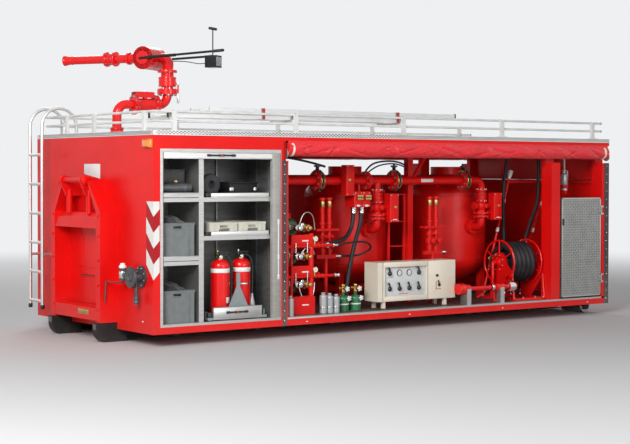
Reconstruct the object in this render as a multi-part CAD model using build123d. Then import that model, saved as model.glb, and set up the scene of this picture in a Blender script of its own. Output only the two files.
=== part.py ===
from build123d import *
import os
from math import cos, radians, sin, tan

# Hook-lift container with a dry-powder extinguishing plant. All sizes are in millimetres.
# +X points forward to the hook end, +Y to the working side, +Z up, and the ground is Z = 0.

# Body
body_length = 6190.0
body_width = 2500.0
skirt_height = 125.0
roof_height = 2023.0
wall = 40.0
skin = 6.0
roof_plate = 38.0
deck_depth = 43.0
floor_top = 210.0
seat = 0.3

# Hook-lift interface
beam_depth = 170.0
beam_foot = 20.0
beam_spread = 1060.0
flange_width = 91.0
flange_thickness = 9.0
web_thickness = 7.0
hook_bar_height = 1590.0
hook_bar_diameter = 50.0
hook_bar_reach = 200.0
hook_frame_reach = 190.0
shoe_reach = 225.0

# Monitor on the roof
pipe_radius = 48.0
flange_radius = 105.0
riser_setback = 290.0
swivel_setback = 884.0
valve_height = 2365.0
trunnion_offset = 210.0
trunnion_height = 2860.0
barrel_length = 1000.0
tiller_length = 960.0
parked_yaw = -60.0

half_width = body_width / 2
front_x = (body_length - shoe_reach) / 2
rear_x = front_x - body_length
beam_top = beam_foot + beam_depth
roof_under = roof_height - roof_plate
deck_top = roof_height + deck_depth
strip_proud = 4.0
side_y = half_width - strip_proud

# Stations along the body, as distances behind the front wall
locker_start = 75.0
locker_end = 1469.0
bulkhead_start = 1497.0
bulkhead_thickness = 30.0
bay_start = 1545.0
rear_post_width = 79.0
rear_post_end = body_length - wall
rear_post_start = rear_post_end - rear_post_width
door_width = 647.0
door_end = rear_post_start - 7.0
door_start = door_end - door_width
post_width = 135.0
post_end = door_start - 37.0
post_start = post_end - post_width

# Heights of the side openings
locker_sill = 190.0
locker_head = 1894.0
bay_head = 1785.0
rail_under = 1900.0

os.makedirs("parts", exist_ok=True)


def at(setback):
    """X of a station that lies this far behind the front wall."""
    return front_x - setback


def block(x0, x1, y0, y1, z0, z1):
    """A box between two corners."""
    size = (abs(x1 - x0), abs(y1 - y0), abs(z1 - z0))
    return Pos((x0 + x1) / 2, (y0 + y1) / 2, (z0 + z1) / 2) * Box(*size)


def rod(start, end, radius, inner=0.0):
    """A round bar, or a tube where an inner radius is given, from one point to another."""
    run = Vector(*end) - Vector(*start)
    plane = Plane(origin=start, z_dir=run)
    bar = extrude(plane * Circle(radius), amount=run.length)
    if inner:
        bar -= extrude(plane * Circle(inner), amount=run.length)
    return bar


def disc(centre, axis, radius, thickness, inner=0.0):
    """A round plate centred on a point, with its axis along X, Y or Z."""
    half = Vector(*axis) * (thickness / 2)
    middle = Vector(*centre)
    return rod(tuple(middle - half), tuple(middle + half), radius, inner)


def pipe(points, bend, radius, inner=0.0):
    """A pipe with straight legs and one bend radius at each corner."""
    path = FilletPolyline(*points, radius=bend) if len(points) > 2 else Polyline(*points)
    section = Plane(origin=path @ 0, z_dir=path % 0) * Circle(radius)
    body = sweep(section, path=path)
    if inner:
        body -= sweep(Plane(origin=path @ 0, z_dir=path % 0) * Circle(inner), path=path)
    return body


def prism(outline, y0, y1):
    """A plate whose outline lies in XZ, from one Y to another."""
    face = make_face(Polyline(*[(x, 0, z) for x, z in outline], close=True))
    low, high = min(y0, y1), max(y0, y1)
    solid = extrude(face, amount=high - low, dir=(0, 1, 0))
    return Pos(0, low, 0) * solid


def slab(outline, x0, x1):
    """A plate whose outline lies in YZ, from one X to another."""
    face = make_face(Polyline(*[(0, y, z) for y, z in outline], close=True))
    low, high = min(x0, x1), max(x0, x1)
    return Pos(low, 0, 0) * extrude(face, amount=high - low, dir=(1, 0, 0))


def fuse(solids):
    """One solid from pieces that are welded together."""
    whole = solids[0]
    for piece in solids[1:]:
        whole = whole + piece
    return whole


def save(name, *pieces):
    """Writes one node. Pieces that stay apart share it as separate solids."""
    solids = []
    for piece in pieces:
        solids += list(piece.solids())
    shape = solids[0] if len(solids) == 1 else Compound(children=solids)
    shape.label = name
    export_step(shape, f"parts/{name}.step")


def hose(points, radius):
    """A hose along straight runs joined by arcs as large as the runs allow."""
    bends = []
    for a, b, c in zip(points, points[1:], points[2:]):
        ab, bc = Vector(*b) - Vector(*a), Vector(*c) - Vector(*b)
        half_turn = radians(ab.get_angle(bc)) / 2
        bends.append(0.45 * min(ab.length, bc.length) / tan(half_turn))
    path = FilletPolyline(*points, radius=bends)
    return sweep(Plane(origin=path @ 0, z_dir=path % 0) * Circle(radius), path=path)


# Subframe: two longitudinal beams with closed sled shoes in front, and their cross members
beam_y = beam_spread / 2 - flange_width / 2
shoe_front = at(-shoe_reach)
shoe_length = 330.0
shoe_radius = 120.0
beam_setback = 70.0
beam_end = at(body_length - beam_setback)


def beam(side):
    """An I-beam whose front end is closed by a sled shoe that reaches the ground."""
    y = side * beam_y
    low, high = y - flange_width / 2, y + flange_width / 2
    x0, x1 = beam_end, shoe_front - shoe_length / 2
    web = block(x0, x1, y - web_thickness / 2, y + web_thickness / 2, beam_foot, beam_top)
    bottom = block(x0, x1, low, high, beam_foot, beam_foot + flange_thickness)
    top = block(x0, x1, low, high, beam_top - flange_thickness, beam_top)
    shoe = block(shoe_front - shoe_length, shoe_front, low, high, 0, beam_top)
    edge = shoe.edges().filter_by(Axis.Y).sort_by(Axis.X)[-2:].sort_by(Axis.Z)[0]
    shoe = fillet(edge, radius=shoe_radius)
    return fuse([shoe, web, bottom, top])


save("longitudinal_beams", beam(1), beam(-1))

cross_member_count = 7
cross_member_width = 60.0
cross_member_under = 100.0
member_clear = 60.0
first_member = 300.0
cross_span = body_length - 2 * first_member
members = []
for i in range(cross_member_count):
    x = at(first_member + cross_span * i / (cross_member_count - 1))
    x0, x1 = x - cross_member_width / 2, x + cross_member_width / 2
    inner = beam_y - flange_width / 2
    outer = beam_y + flange_width / 2
    members.append(block(x0, x1, -inner, inner, cross_member_under, beam_top))
    for side in (1, -1):
        y0, y1 = side * outer, side * (side_y - member_clear)
        members.append(block(x0, x1, y0, y1, cross_member_under, beam_top))

# Rear rollers, each on its own pin between two hanging plates
roller_radius = 80.0
roller_length = 340.0
roller_setback = body_length - 135.0
roller_inner = 660.0
pin_radius = 20.0
pin_play = 0.05
plate_gap = 6.0
roller_plate = 12.0
roller_x = at(roller_setback)
rollers = {}
for side, name in ((1, "left_roller"), (-1, "right_roller")):
    y0, y1 = side * roller_inner, side * (roller_inner + roller_length)
    low, high = min(y0, y1), max(y0, y1)
    drum = rod((roller_x, low, roller_radius), (roller_x, high, roller_radius), roller_radius, pin_radius)
    rollers[name] = chamfer(drum.edges().filter_by(GeomType.CIRCLE).group_by(SortBy.RADIUS)[-1], 8)
    plates = []
    for y in (low - plate_gap - roller_plate, high + plate_gap):
        outline = [
            (roller_x - 85, beam_top),
            (roller_x + 85, beam_top),
            (roller_x + 35, roller_radius - 38),
            (roller_x - 35, roller_radius - 38),
        ]
        plates.append(prism(outline, y, y + roller_plate))
    pin = rod(
        (roller_x, low - plate_gap - roller_plate, roller_radius),
        (roller_x, high + plate_gap + roller_plate, roller_radius),
        pin_radius - pin_play,
    )
    members.append(fuse([plates[0], plates[1], pin]))
save("cross_members", *members)
for name, roller in rollers.items():
    save(name, roller)

# Floor with its outer sills
sill_depth = 55.0


def sill(side):
    """The red skirt channel under one side, with its upper lip."""
    y = side * side_y
    web = block(rear_x + wall, front_x - wall, y, y - side * skin, skirt_height, locker_sill)
    lip = block(rear_x + wall, front_x - wall, y, y - side * member_clear, locker_sill - skin, locker_sill)
    return fuse([web, lip])


edging_thickness = 5.0
floor_pieces = [
    block(rear_x + wall, front_x - wall, -side_y + sill_depth, side_y - sill_depth, beam_top, floor_top),
    sill(1),
    sill(-1),
]
for side in (1, -1):
    inner, outer = side * (side_y - sill_depth - 5), side * (side_y - edging_thickness)
    floor_pieces.append(
        block(at(rear_post_start), at(bay_start), inner, outer, beam_top, floor_top - edging_thickness)
    )
save("floor", fuse(floor_pieces))


def sill_edging(side):
    """The bare aluminium angle along the open bay's threshold."""
    y = side * side_y
    x0, x1 = at(rear_post_start), at(bay_start)
    top = block(x0, x1, y, y - side * sill_depth, floor_top - edging_thickness, floor_top)
    face = block(x0, x1, y, y - side * edging_thickness, locker_sill, floor_top)
    return fuse([top, face])


edgings = [sill_edging(1), sill_edging(-1)]

# Closed walls
notch = flange_width + 4.0
front_wall = block(front_x - wall, front_x, -side_y, side_y, skirt_height, roof_under)
for side in (1, -1):
    y = side * beam_y
    front_wall -= block(front_x - wall, front_x, y - notch / 2, y + notch / 2, skirt_height, beam_top)
rail_depth = 60.0
post_depth = 165.0
inner_y = side_y - post_depth
rear_wall = block(rear_x, rear_x + wall, -side_y, side_y, skirt_height, roof_under)
for side in (1, -1):
    y0, y1 = side * (inner_y + rail_depth), side * side_y
    rear_wall -= block(rear_x, rear_x + wall, y0, y1, bay_head, roof_under)
bulkhead_x = at(bulkhead_start)
inner_walls = [block(bulkhead_x - bulkhead_thickness, bulkhead_x, -side_y, side_y, floor_top, roof_under)]
save("roof", block(rear_x, front_x, -side_y, side_y, roof_under, roof_height))
save("roof_deck", block(rear_x, front_x, -half_width, half_width, roof_height, deck_top))

# Corner posts and bay posts, stepped back above the opening to make room for the rolled cover


def post(side, start, end):
    """One hollow-section post with its recessed head under the rail."""
    y = side * side_y
    foot = block(at(end), at(start), y, side * inner_y, floor_top, bay_head)
    head = block(at(end), at(start), side * (inner_y + rail_depth), side * inner_y, bay_head, rail_under)
    return fuse([foot, head])


front_post_start = bulkhead_start + bulkhead_thickness
front_post_end = front_post_start + 30.0
posts = []
for side in (1, -1):
    for start, end in (
        (front_post_start, front_post_end),
        (post_start, post_end),
        (rear_post_start, rear_post_end),
    ):
        posts.append(post(side, start, end))
save("side_posts", *posts)

rails = []
for side in (1, -1):
    y0, y1 = side * (inner_y + rail_depth), side * inner_y
    rails.append(block(at(rear_post_end), at(front_post_start), y0, y1, rail_under, roof_under))
save("head_rails", *rails)

# Riveted cover strips at the ends of the bay
strip_ends = (
    (front_post_start - 42.0, front_post_start + 10.0),
    (body_length - 77.0, body_length - 7.0),
)
strips = []
for side in (1, -1):
    for start, end in strip_ends:
        strips.append(
            block(at(end), at(start), side * side_y, side * half_width, skirt_height, bay_head)
        )
save("cover_strips", *strips)

# Lower wall of the far side of the bay, with a stiffening rail along its top
far_wall_top = 1640.0
far_rail = 40.0
far_walls = []
for start, end in ((front_post_end, post_start), (post_end, rear_post_start)):
    x0, x1 = at(end), at(start)
    panel = block(x0, x1, -side_y, -side_y + 25, floor_top, far_wall_top)
    rail = block(x0, x1, -side_y, -side_y + far_rail, far_wall_top - far_rail, far_wall_top)
    far_walls.append(fuse([panel, rail]))
save("body_walls", front_wall, rear_wall, *far_walls)

# Locker surrounds in the side skin, in front of the bulkhead
surround_depth = 50.0


def surround(side):
    """The painted frame round a locker opening."""
    y0, y1 = side * side_y, side * (side_y - surround_depth)
    frame = block(bulkhead_x, at(wall), y0, y1, locker_sill, roof_under)
    hole = block(at(locker_end), at(locker_start), y0, y1, locker_sill, locker_head)
    return frame - hole


save("locker_surrounds", surround(1), surround(-1))

# Shutter frames of bare aluminium profile, with a guide channel in each jamb
jamb = 33.0
rear_jamb = 69.0
frame_depth = 45.0
frame_head = 30.0
frame_sill = 26.0


def shutter_frame(side):
    """The profile frame that guides one roller shutter."""
    y0, y1 = side * (side_y - 1.0), side * (side_y - 1.0 - frame_depth)
    x0, x1 = at(locker_end) + seat, at(locker_start) - seat
    frame = block(x0, x1, y0, y1, locker_sill + seat, locker_head - seat)
    hole = block(
        x0 + rear_jamb, x1 - jamb, y0, y1, locker_sill + frame_sill, locker_head - frame_head
    )
    return frame - hole


save("shutter_frames", shutter_frame(1), shutter_frame(-1))

# Shutters: the left one rolled up with only its end slat down, the right one closed
slat_x0 = at(locker_end) + rear_jamb + 1.0
slat_x1 = at(locker_start) - jamb - 1.0
slat_y = side_y - 12.0
end_slat_top = locker_head - frame_head - 1.0
end_slat_height = 62.0
roll_radius = 85.0
end_slat = block(
    slat_x0, slat_x1, slat_y - 22, slat_y, end_slat_top - end_slat_height, end_slat_top
)
roll_y = side_y - frame_depth - roll_radius - 8
roll_z = roof_under - roll_radius - 5
rolled = rod((slat_x0, roll_y, roll_z), (slat_x1, roll_y, roll_z), roll_radius)
rolled += rod((bulkhead_x + seat, roll_y, roll_z), (at(wall) - seat, roll_y, roll_z), 20)

slat_pitch = 58.0
slat_groove = 5.0
slat_bottom = locker_sill + frame_sill + 1.0
slat_count = int((end_slat_top - slat_bottom) / slat_pitch)
curtain_outline = [(-slat_y + 14, slat_bottom)]
for i in range(slat_count):
    z = slat_bottom + i * (end_slat_top - slat_bottom) / slat_count
    step = (end_slat_top - slat_bottom) / slat_count
    curtain_outline += [
        (-slat_y + slat_groove, z),
        (-slat_y, z + slat_groove),
        (-slat_y, z + step - slat_groove),
    ]
curtain_outline += [(-slat_y + slat_groove, end_slat_top), (-slat_y + 14, end_slat_top)]
save("roller_shutters", end_slat, rolled, slab(curtain_outline, slat_x0, slat_x1))

# Locker lining: one back panel behind each row of shelves
locker_back = 640.0
back_thickness = 10.0
for side in (1, -1):
    y0 = side * (side_y - locker_back)
    inner_walls.append(
        block(bulkhead_x + seat, at(wall), y0, y0 - side * back_thickness, floor_top, roof_under)
    )
save("inner_walls", *inner_walls)

# Shelf rack of the left locker: a middle column, shelves with folded fronts, and tray rails
rack_front = side_y - surround_depth - 2.0
rack_back = side_y - locker_back + 1.0
column_start = 535.0
column_end = 590.0
left_cell_start = wall + 1.0
right_cell_end = bulkhead_start - 1.0
shelf_sheet = 4.0
left_shelf_tops = (1472.0, 861.0)
left_shelf_depth = 88.0
right_shelf_tops = (1424.0, 1048.0)
right_shelf_depth = 42.0
column_top = end_slat_top - end_slat_height
rack = [block(at(column_end), at(column_start), rack_back, rack_front, floor_top, column_top)]
for top in left_shelf_tops:
    x0, x1 = at(column_start), at(left_cell_start)
    rack.append(block(x0, x1, rack_back, rack_front, top - shelf_sheet, top))
    rack.append(block(x0, x1, rack_front - 20, rack_front, top - left_shelf_depth, top))
for top in right_shelf_tops:
    x0, x1 = at(right_cell_end), at(column_end)
    rack.append(block(x0, x1, rack_back, rack_front, top - shelf_sheet, top))
    rack.append(block(x0, x1, rack_front - 20, rack_front, top - right_shelf_depth, top))
shelf_rack = fuse(rack)

# Pull-out trays on the right shelves
tray_start = 672.0
tray_end = 1352.0
tray_front_height = 42.0
tray_base = 12.0
tray_wall = 20.0
tray_depth = 520.0
tray_front_y = rack_front + 1.0


def tray(top):
    """A shallow tray with a folded front edge, standing on its shelf."""
    x0, x1 = at(tray_end), at(tray_start)
    base = block(x0, x1, tray_front_y - tray_depth, tray_front_y, top + seat, top + seat + tray_base)
    front = block(x0, x1, tray_front_y - tray_wall, tray_front_y, top + seat, top + seat + tray_front_height)
    return fuse([base, front])


save("upper_tray", tray(right_shelf_tops[0]))
save("middle_tray", tray(right_shelf_tops[1]))

# Storage crates with a rim, a hand slot and open tops
crate_wall = 6.0


def crate(x0, x1, y0, y1, z0, height, rim):
    """An open crate with a hand slot in its front."""
    z1 = z0 + height
    body = block(x0, x1, y0, y1, z0, z1)
    band = block(x0 - rim, x1 + rim, y0 - rim, y1 + rim, z1 - 22, z1)
    hollow = block(x0 + crate_wall, x1 - crate_wall, y0 + crate_wall, y1 - crate_wall, z0 + crate_wall, z1)
    middle, slot = (x0 + x1) / 2, min(90.0, (x1 - x0) / 3)
    hand = block(middle - slot / 2, middle + slot / 2, y0 - rim, y1 + rim, z1 - 52, z1 - 30)
    return body + band - hollow - hand


grey_width, grey_depth, grey_height = 380.0, 560.0, 320.0
grey_x = at((left_cell_start + column_start) / 2 + 12.0)
grey_y1 = rack_front - 12.0
grey = []
for base in (left_shelf_tops[1] + seat, floor_top + seat):
    x0, x1 = grey_x - grey_width / 2, grey_x + grey_width / 2
    grey.append(crate(x0, x1, grey_y1 - grey_depth, grey_y1, base, grey_height, 5.0))
save("grey_crates", *grey)

pale_width, pale_depth, pale_height = 318.0, 440.0, 118.0
pale = []
tray_top = right_shelf_tops[1] + seat + tray_base + seat
for i in range(2):
    x1 = at(tray_start + 8.0) - i * (pale_width + 16.0)
    y1 = tray_front_y - 30.0
    pale.append(crate(x1 - pale_width, x1, y1 - pale_depth, y1, tray_top, pale_height, 4.0))
save("pale_crates", *pale)

# Extinguisher drawer with two extinguishers and their splash plate
drawer_start = 640.0
drawer_end = 1330.0
drawer_front_start = 700.0
drawer_front_end = 1272.0
drawer_front_height = 122.0
drawer_floor = 24.0
drawer_base = floor_top + 14.0
drawer_depth = 540.0
drawer_back = tray_front_y - drawer_depth
drawer_side = 16.0
plate_base = drawer_base + drawer_floor
x0, x1 = at(drawer_front_end), at(drawer_front_start)
drawer = [
    block(at(drawer_end), at(drawer_start), drawer_back, tray_front_y, drawer_base, plate_base),
    block(x0, x1, tray_front_y - 18, tray_front_y, drawer_base, drawer_base + drawer_front_height),
]
for start in (drawer_start, drawer_end - drawer_side):
    x0, x1 = at(start + drawer_side), at(start)
    drawer.append(block(x0, x1, drawer_back, tray_front_y - 40, drawer_base, drawer_base + 80))
runners = []
for start in (drawer_start + 40.0, drawer_end - 70.0):
    x0, x1 = at(start + 30.0), at(start)
    runners.append(block(x0, x1, drawer_back, tray_front_y - 60, floor_top, drawer_base - seat))
save("shelf_rack", shelf_rack, *runners)

extinguisher_radius = 96.0
extinguisher_height = 560.0
extinguisher_shoulder = 70.0
extinguishers = []
heads = []
deck = plate_base + seat
for setback, y in ((872.0, tray_front_y - 150.0), (1150.0, tray_front_y - 200.0)):
    bottle = rod((at(setback), y, deck), (at(setback), y, deck + extinguisher_height), extinguisher_radius)
    shoulder = bottle.edges().filter_by(GeomType.CIRCLE).sort_by(Axis.Z)[-1]
    bottle = fillet(shoulder, radius=extinguisher_shoulder)
    extinguishers.append(bottle)
    top = deck + extinguisher_height + seat
    neck = rod((at(setback), y, top), (at(setback), y, top + 40), 22)
    lever = block(at(setback) - 75, at(setback) + 35, y - 12, y + 12, top + 30, top + 46)
    grip = block(at(setback) - 90, at(setback) + 20, y - 9, y + 9, top + 60, top + 72)
    stem = block(at(setback) - 8, at(setback) + 8, y - 8, y + 8, top + 40, top + 66)
    heads.append(fuse([neck, lever, grip, stem]))
save("extinguishers", *extinguishers)
save("extinguisher_heads", *heads)

plate_y = tray_front_y - 30.0
plate_x = at(1010.0)
plate_outline = [
    (plate_x - 160, plate_base),
    (plate_x + 160, plate_base),
    (plate_x + 22, plate_base + 290),
    (plate_x + 22, plate_base + 430),
    (plate_x - 22, plate_base + 430),
    (plate_x - 22, plate_base + 290),
]
drawer.append(prism(plate_outline, plate_y - 4, plate_y))
save("extinguisher_drawer", fuse(drawer))


# Hook frame: two tapering side boxes, cross beams and the ears that hold the hook bar
frame_side = beam_spread / 2
frame_plate = 80.0
frame_shoulder = 1287.0
frame_peak_y = 270.0
frame_peak = 1587.0
slant_thickness = 12.0
frame_x = front_x + hook_frame_reach


def frame_half(side):
    """One side box of the hook frame, with its sloping upper flange."""
    outline = [
        (side * frame_side, locker_sill + 2),
        (side * frame_side, frame_shoulder),
        (side * frame_peak_y, frame_peak),
        (side * (frame_peak_y - 10), frame_peak - slant_thickness),
        (side * (frame_side - frame_plate), frame_shoulder - 16),
        (side * (frame_side - frame_plate), locker_sill + 2),
    ]
    return slab(outline, front_x, frame_x)


upper_beam = [(0.0, 1116.0), (-18.0, 1214.0), (-60.0, 1269.0), (-120.0, 1269.0), (-120.0, 1116.0)]
lower_beam = [(0.0, 208.0), (0.0, 331.0), (-40.0, 343.0), (-120.0, 343.0), (-120.0, 208.0)]
beam_half = frame_side - frame_plate
beams = []
for outline in (upper_beam, lower_beam):
    points = [(frame_x - 4 + dx, z) for dx, z in outline]
    beams.append(prism(points, -beam_half, beam_half))

ear_y = 215.0
ear_thickness = 30.0
ear_foot = 1430.0
ear_radius = 48.0
bar_x = front_x + hook_bar_reach


def ear(side):
    """A triangular ear plate with a rounded nose, braced by a strut down to the upper beam."""
    y0, y1 = side * (ear_y - ear_thickness / 2), side * (ear_y + ear_thickness / 2)
    nose = disc((bar_x, side * ear_y, hook_bar_height), (0, 1, 0), ear_radius, ear_thickness)
    outline = [
        (front_x, 1585.0),
        (bar_x, hook_bar_height + ear_radius),
        (bar_x + ear_radius * 0.9, hook_bar_height - 20),
        (bar_x - 20, ear_foot),
        (front_x, ear_foot),
    ]
    strut = rod((frame_x - 50, side * ear_y, 1255.0), (frame_x - 50, side * ear_y, ear_foot + 60), 30)
    return fuse([prism(outline, y0, y1), nose, strut])


back_panel = block(front_x, front_x + 14, -beam_half, beam_half, 330, 1130)
hook_frame = fuse([frame_half(1), frame_half(-1), *beams, back_panel, ear(1), ear(-1)])
bar_bore = hook_bar_diameter / 2 + seat
hook_frame -= rod((bar_x, -ear_y - 60, hook_bar_height), (bar_x, ear_y + 60, hook_bar_height), bar_bore)
save("hook_frame", hook_frame)
bar_half = ear_y + ear_thickness / 2 + 14
bar_radius = hook_bar_diameter / 2
hook_bar = rod((bar_x, -bar_half, hook_bar_height), (bar_x, bar_half, hook_bar_height), bar_radius)
collars = []
for side in (1, -1):
    collars.append(disc((bar_x, side * (bar_half - 5), hook_bar_height), (0, 1, 0), bar_radius + 8, 10))
save("hook_bar", fuse([hook_bar, *collars]))

# Powder tanks with dished ends, standing on four legs each
tank_radius = 465.0
tank_low = 655.0
tank_high = 1400.0
crown_radius = 600.0
knuckle_radius = 150.0
leg_size = 70.0
tank_setbacks = (3210.0, 4730.0)
stack_setbacks = (3160.0, 4700.0)
stack_pipe = 44.0
inlet_flange_radius = 84.0
header_height = 1580.0
stack_bottom = header_height - 424.0
tank_inlet = stack_bottom - 116.0
knuckle_y = tank_radius - knuckle_radius
crown_drop = ((crown_radius - knuckle_radius) ** 2 - knuckle_y**2) ** 0.5
dish = crown_radius - crown_drop
tangent = (knuckle_y / (crown_radius - knuckle_radius), crown_drop / (crown_radius - knuckle_radius))


def dished_tank():
    """A vertical pressure vessel round the Z axis."""
    join_x = tangent[0] * crown_radius
    join_z = tangent[1] * crown_radius - crown_drop
    knuckle_mid = (knuckle_y + knuckle_radius * cos(radians(22.0)), knuckle_radius * sin(radians(22.0)))
    half = join_x / 2
    crown_mid = (half, (crown_radius**2 - half**2) ** 0.5 - crown_drop)
    profile = [
        Line((0, tank_low - dish), (0, tank_high + dish)),
        ThreePointArc(
            (0, tank_high + dish), (crown_mid[0], tank_high + crown_mid[1]), (join_x, tank_high + join_z)
        ),
        ThreePointArc(
            (join_x, tank_high + join_z),
            (knuckle_mid[0], tank_high + knuckle_mid[1]),
            (tank_radius, tank_high),
        ),
        Line((tank_radius, tank_high), (tank_radius, tank_low)),
        ThreePointArc(
            (tank_radius, tank_low), (knuckle_mid[0], tank_low - knuckle_mid[1]), (join_x, tank_low - join_z)
        ),
        ThreePointArc(
            (join_x, tank_low - join_z), (crown_mid[0], tank_low - crown_mid[1]), (0, tank_low - dish)
        ),
    ]
    return revolve(Plane.XZ * make_face(profile), axis=Axis.Z)


manhole_radius = 190.0
manhole_top = tank_high + dish + 60.0
leg_place = tank_radius * 0.62
tank = dished_tank()
tank += rod((0, 0, tank_high + dish - 40), (0, 0, manhole_top), manhole_radius)
for sx in (1, -1):
    for sy in (1, -1):
        leg = Pos(sx * leg_place, sy * leg_place, (floor_top + tank_low) / 2)
        tank += leg * Box(leg_size, leg_size, tank_low - floor_top)
nozzle_y = tank_radius + 35.0
nozzle_flange = 20.0
tanks = []
for tank_setback, setback in zip(tank_setbacks, stack_setbacks):
    x = at(setback)
    neck = rod((x, tank_radius - 60, tank_inlet), (x, nozzle_y, tank_inlet), stack_pipe)
    middle = (x, nozzle_y - nozzle_flange / 2, tank_inlet)
    collar = disc(middle, (0, 1, 0), inlet_flange_radius, nozzle_flange)
    tanks.append(fuse([Pos(at(tank_setback), 0, 0) * tank, neck, collar]))
save("powder_tanks", *tanks)

# Powder header along the bay, cut at its three wafer valves
header_y = nozzle_y + 150.0
header_radius = 44.5
branch_radius = 40.0
bolt_flange_radius = 102.0
bolt_flange = 18.0
valve_width = 46.0
valve_setbacks = (2350.0, 3400.0, 4420.0)
joint_setback = 3000.0
stack_top = header_height - 104.0
elbow_radius = 90.0
header_start = bulkhead_start + bulkhead_thickness
drop_setbacks = (2797.0, 2909.0)
twin_box_top = header_height - 117.0
twin_box_under = twin_box_top - 168.0
twin_box_half = 52.0


def flange_at(setback):
    """A bolting flange on the header."""
    return disc((at(setback), header_y, header_height), (1, 0, 0), bolt_flange_radius, bolt_flange)


cuts = [header_start]
for s in valve_setbacks:
    cuts += [s - valve_width / 2, s + valve_width / 2]
header = []
for i in range(len(valve_setbacks)):
    start, end = cuts[2 * i], cuts[2 * i + 1]
    run = [rod((at(start), header_y, header_height), (at(end), header_y, header_height), header_radius)]
    run.append(flange_at(end - bolt_flange / 2))
    run.append(flange_at(start + bolt_flange / 2))
    if start < joint_setback < end:
        run.append(flange_at(joint_setback - bolt_flange / 2 - 1))
        run.append(flange_at(joint_setback + bolt_flange / 2 + 1))
    for drop_setback in drop_setbacks:
        if start < drop_setback < end:
            x = at(drop_setback)
            run.append(rod((x, header_y, header_height - 30), (x, header_y, twin_box_top), 14))
    if start < stack_setbacks[0] < end:
        x = at(stack_setbacks[0])
        run.append(rod((x, header_y, header_height), (x, header_y, stack_top), branch_radius))
    header.append(fuse(run))
last = cuts[-1]
elbow = pipe(
    [(at(last), header_y, header_height), (at(stack_setbacks[1]), header_y, header_height),
     (at(stack_setbacks[1]), header_y, stack_top)],
    elbow_radius, header_radius,
)
header.append(fuse([elbow, flange_at(last + bolt_flange / 2)]))
save("powder_header", *header)

valves = []
neck_top = header_height + bolt_flange_radius + 60
for s in valve_setbacks:
    x = at(s)
    body = disc((x, header_y, header_height), (1, 0, 0), bolt_flange_radius + 8, valve_width)
    neck = block(x - 14, x + 14, header_y - 14, header_y + 14, header_height, neck_top)
    valves.append(fuse([body, neck]))
save("wafer_valves", *valves)

# Valve stacks from the header down into the tanks, and the actuator boxes beside them
stack_flange = 95.0
inlet_bend = 80.0


def valve_stack(setback):
    """Pinch valve, ball valve and elbow that feed one tank."""
    x = at(setback)
    inlet_y = nozzle_y
    pieces = [rod((x, header_y, stack_bottom), (x, header_y, stack_top), 46)]
    for drop in (10.0, 51.0, 86.0, 120.0):
        pieces.append(disc((x, header_y, stack_top - drop), (0, 0, 1), 66, 18))
    pieces.append(Pos(x, header_y, stack_top - 190) * Sphere(68))
    for z in (stack_bottom + 11, stack_bottom + 45):
        pieces.append(disc((x, header_y, z), (0, 0, 1), stack_flange, 22))
    route = [(x, header_y, stack_bottom), (x, header_y, tank_inlet), (x, inlet_y, tank_inlet)]
    pieces.append(pipe(route, inlet_bend, stack_pipe))
    middle = inlet_y + nozzle_flange / 2
    pieces.append(disc((x, middle, tank_inlet), (0, 1, 0), inlet_flange_radius, nozzle_flange))
    return fuse(pieces)


box_chamfer = 6.0
stack_box_width = 119.7
upper_box = (2632.0, 2740.0)
actuators = [
    block(
        at(upper_box[1]), at(upper_box[0]), header_y + header_radius + seat, header_y + 145,
        header_height - 160, header_height + 170,
    )
]
for middle in drop_setbacks:
    x0, x1 = at(middle + twin_box_half), at(middle - twin_box_half)
    actuators.append(block(x0, x1, header_y - 40, header_y + 140, twin_box_under, twin_box_top))
for middle in stack_setbacks:
    x1 = at(middle + stack_flange + seat)
    x0 = x1 - stack_box_width
    actuators.append(block(x0, x1, header_y, header_y + 120, stack_bottom - 32, stack_bottom + 281))
actuators = [chamfer(box.edges().filter_by(Axis.Z), box_chamfer) for box in actuators]
save("valve_stacks", *[valve_stack(s) for s in stack_setbacks])
save("actuator_boxes", *actuators)


# Upright frame between the tanks, with its rungs and a stay to the roof
frame_y = 500.0
upright = 40.0
rung = 12.0
column_top = 1500.0
uprights = [
    block(at(3768.0), at(3694.0), frame_y - 37, frame_y + 37, floor_top, roof_under),
    block(at(3680.0), at(3654.0), frame_y - 13, frame_y + 13, floor_top, 1430.0),
    block(at(3456.0), at(3430.0), frame_y - 13, frame_y + 13, floor_top, 1430.0),
]
for z in (842.0, 1120.0, 1424.0):
    uprights.append(block(at(3700.0), at(3440.0), frame_y - 10, frame_y + 10, z - rung / 2, z + rung / 2))
stay = rod((at(3731.0), frame_y, 1500.0), (at(4050.0), frame_y, roof_under - 20), 24)
save("bay_frame", fuse([*uprights, stay]))

# Small valve manifolds beside the tanks, each on a standpipe
manifold_y = header_y + 50.0
manifold_top = header_height - 180.0
manifold_pipe = 22.0
manifold_plate = 1057.0
manifold_bar = 770.0
valve_table = (
    # height, radius, depth
    (manifold_top - 12, 34.0, 24.0),
    (manifold_bar + 215, 38.0, 40.0),
    (manifold_bar + 135, 42.0, 56.0),
    (manifold_bar + 58, 34.0, 30.0),
)


def manifold(setback):
    """Two parallel pipes with screwed valves between an upper plate and a lower bar."""
    x = at(setback)
    pieces = [
        block(x - 150, x + 150, manifold_y - 45, manifold_y + 45, manifold_plate - 12, manifold_plate + 12),
        block(x - 130, x + 130, manifold_y - 20, manifold_y + 20, manifold_bar - 20, manifold_bar + 20),
        rod((x, manifold_y, floor_top), (x, manifold_y, manifold_bar), manifold_pipe),
        disc((x, manifold_y, floor_top + 6), (0, 0, 1), 50, 12),
    ]
    for place in (x + 46.0, x - 46.0):
        foot = (place, manifold_y, manifold_bar)
        pieces.append(rod(foot, (place, manifold_y, manifold_top), manifold_pipe))
        for z, radius, height in valve_table:
            pieces.append(disc((place, manifold_y, z), (0, 0, 1), radius, height))
    return fuse(pieces)


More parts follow.
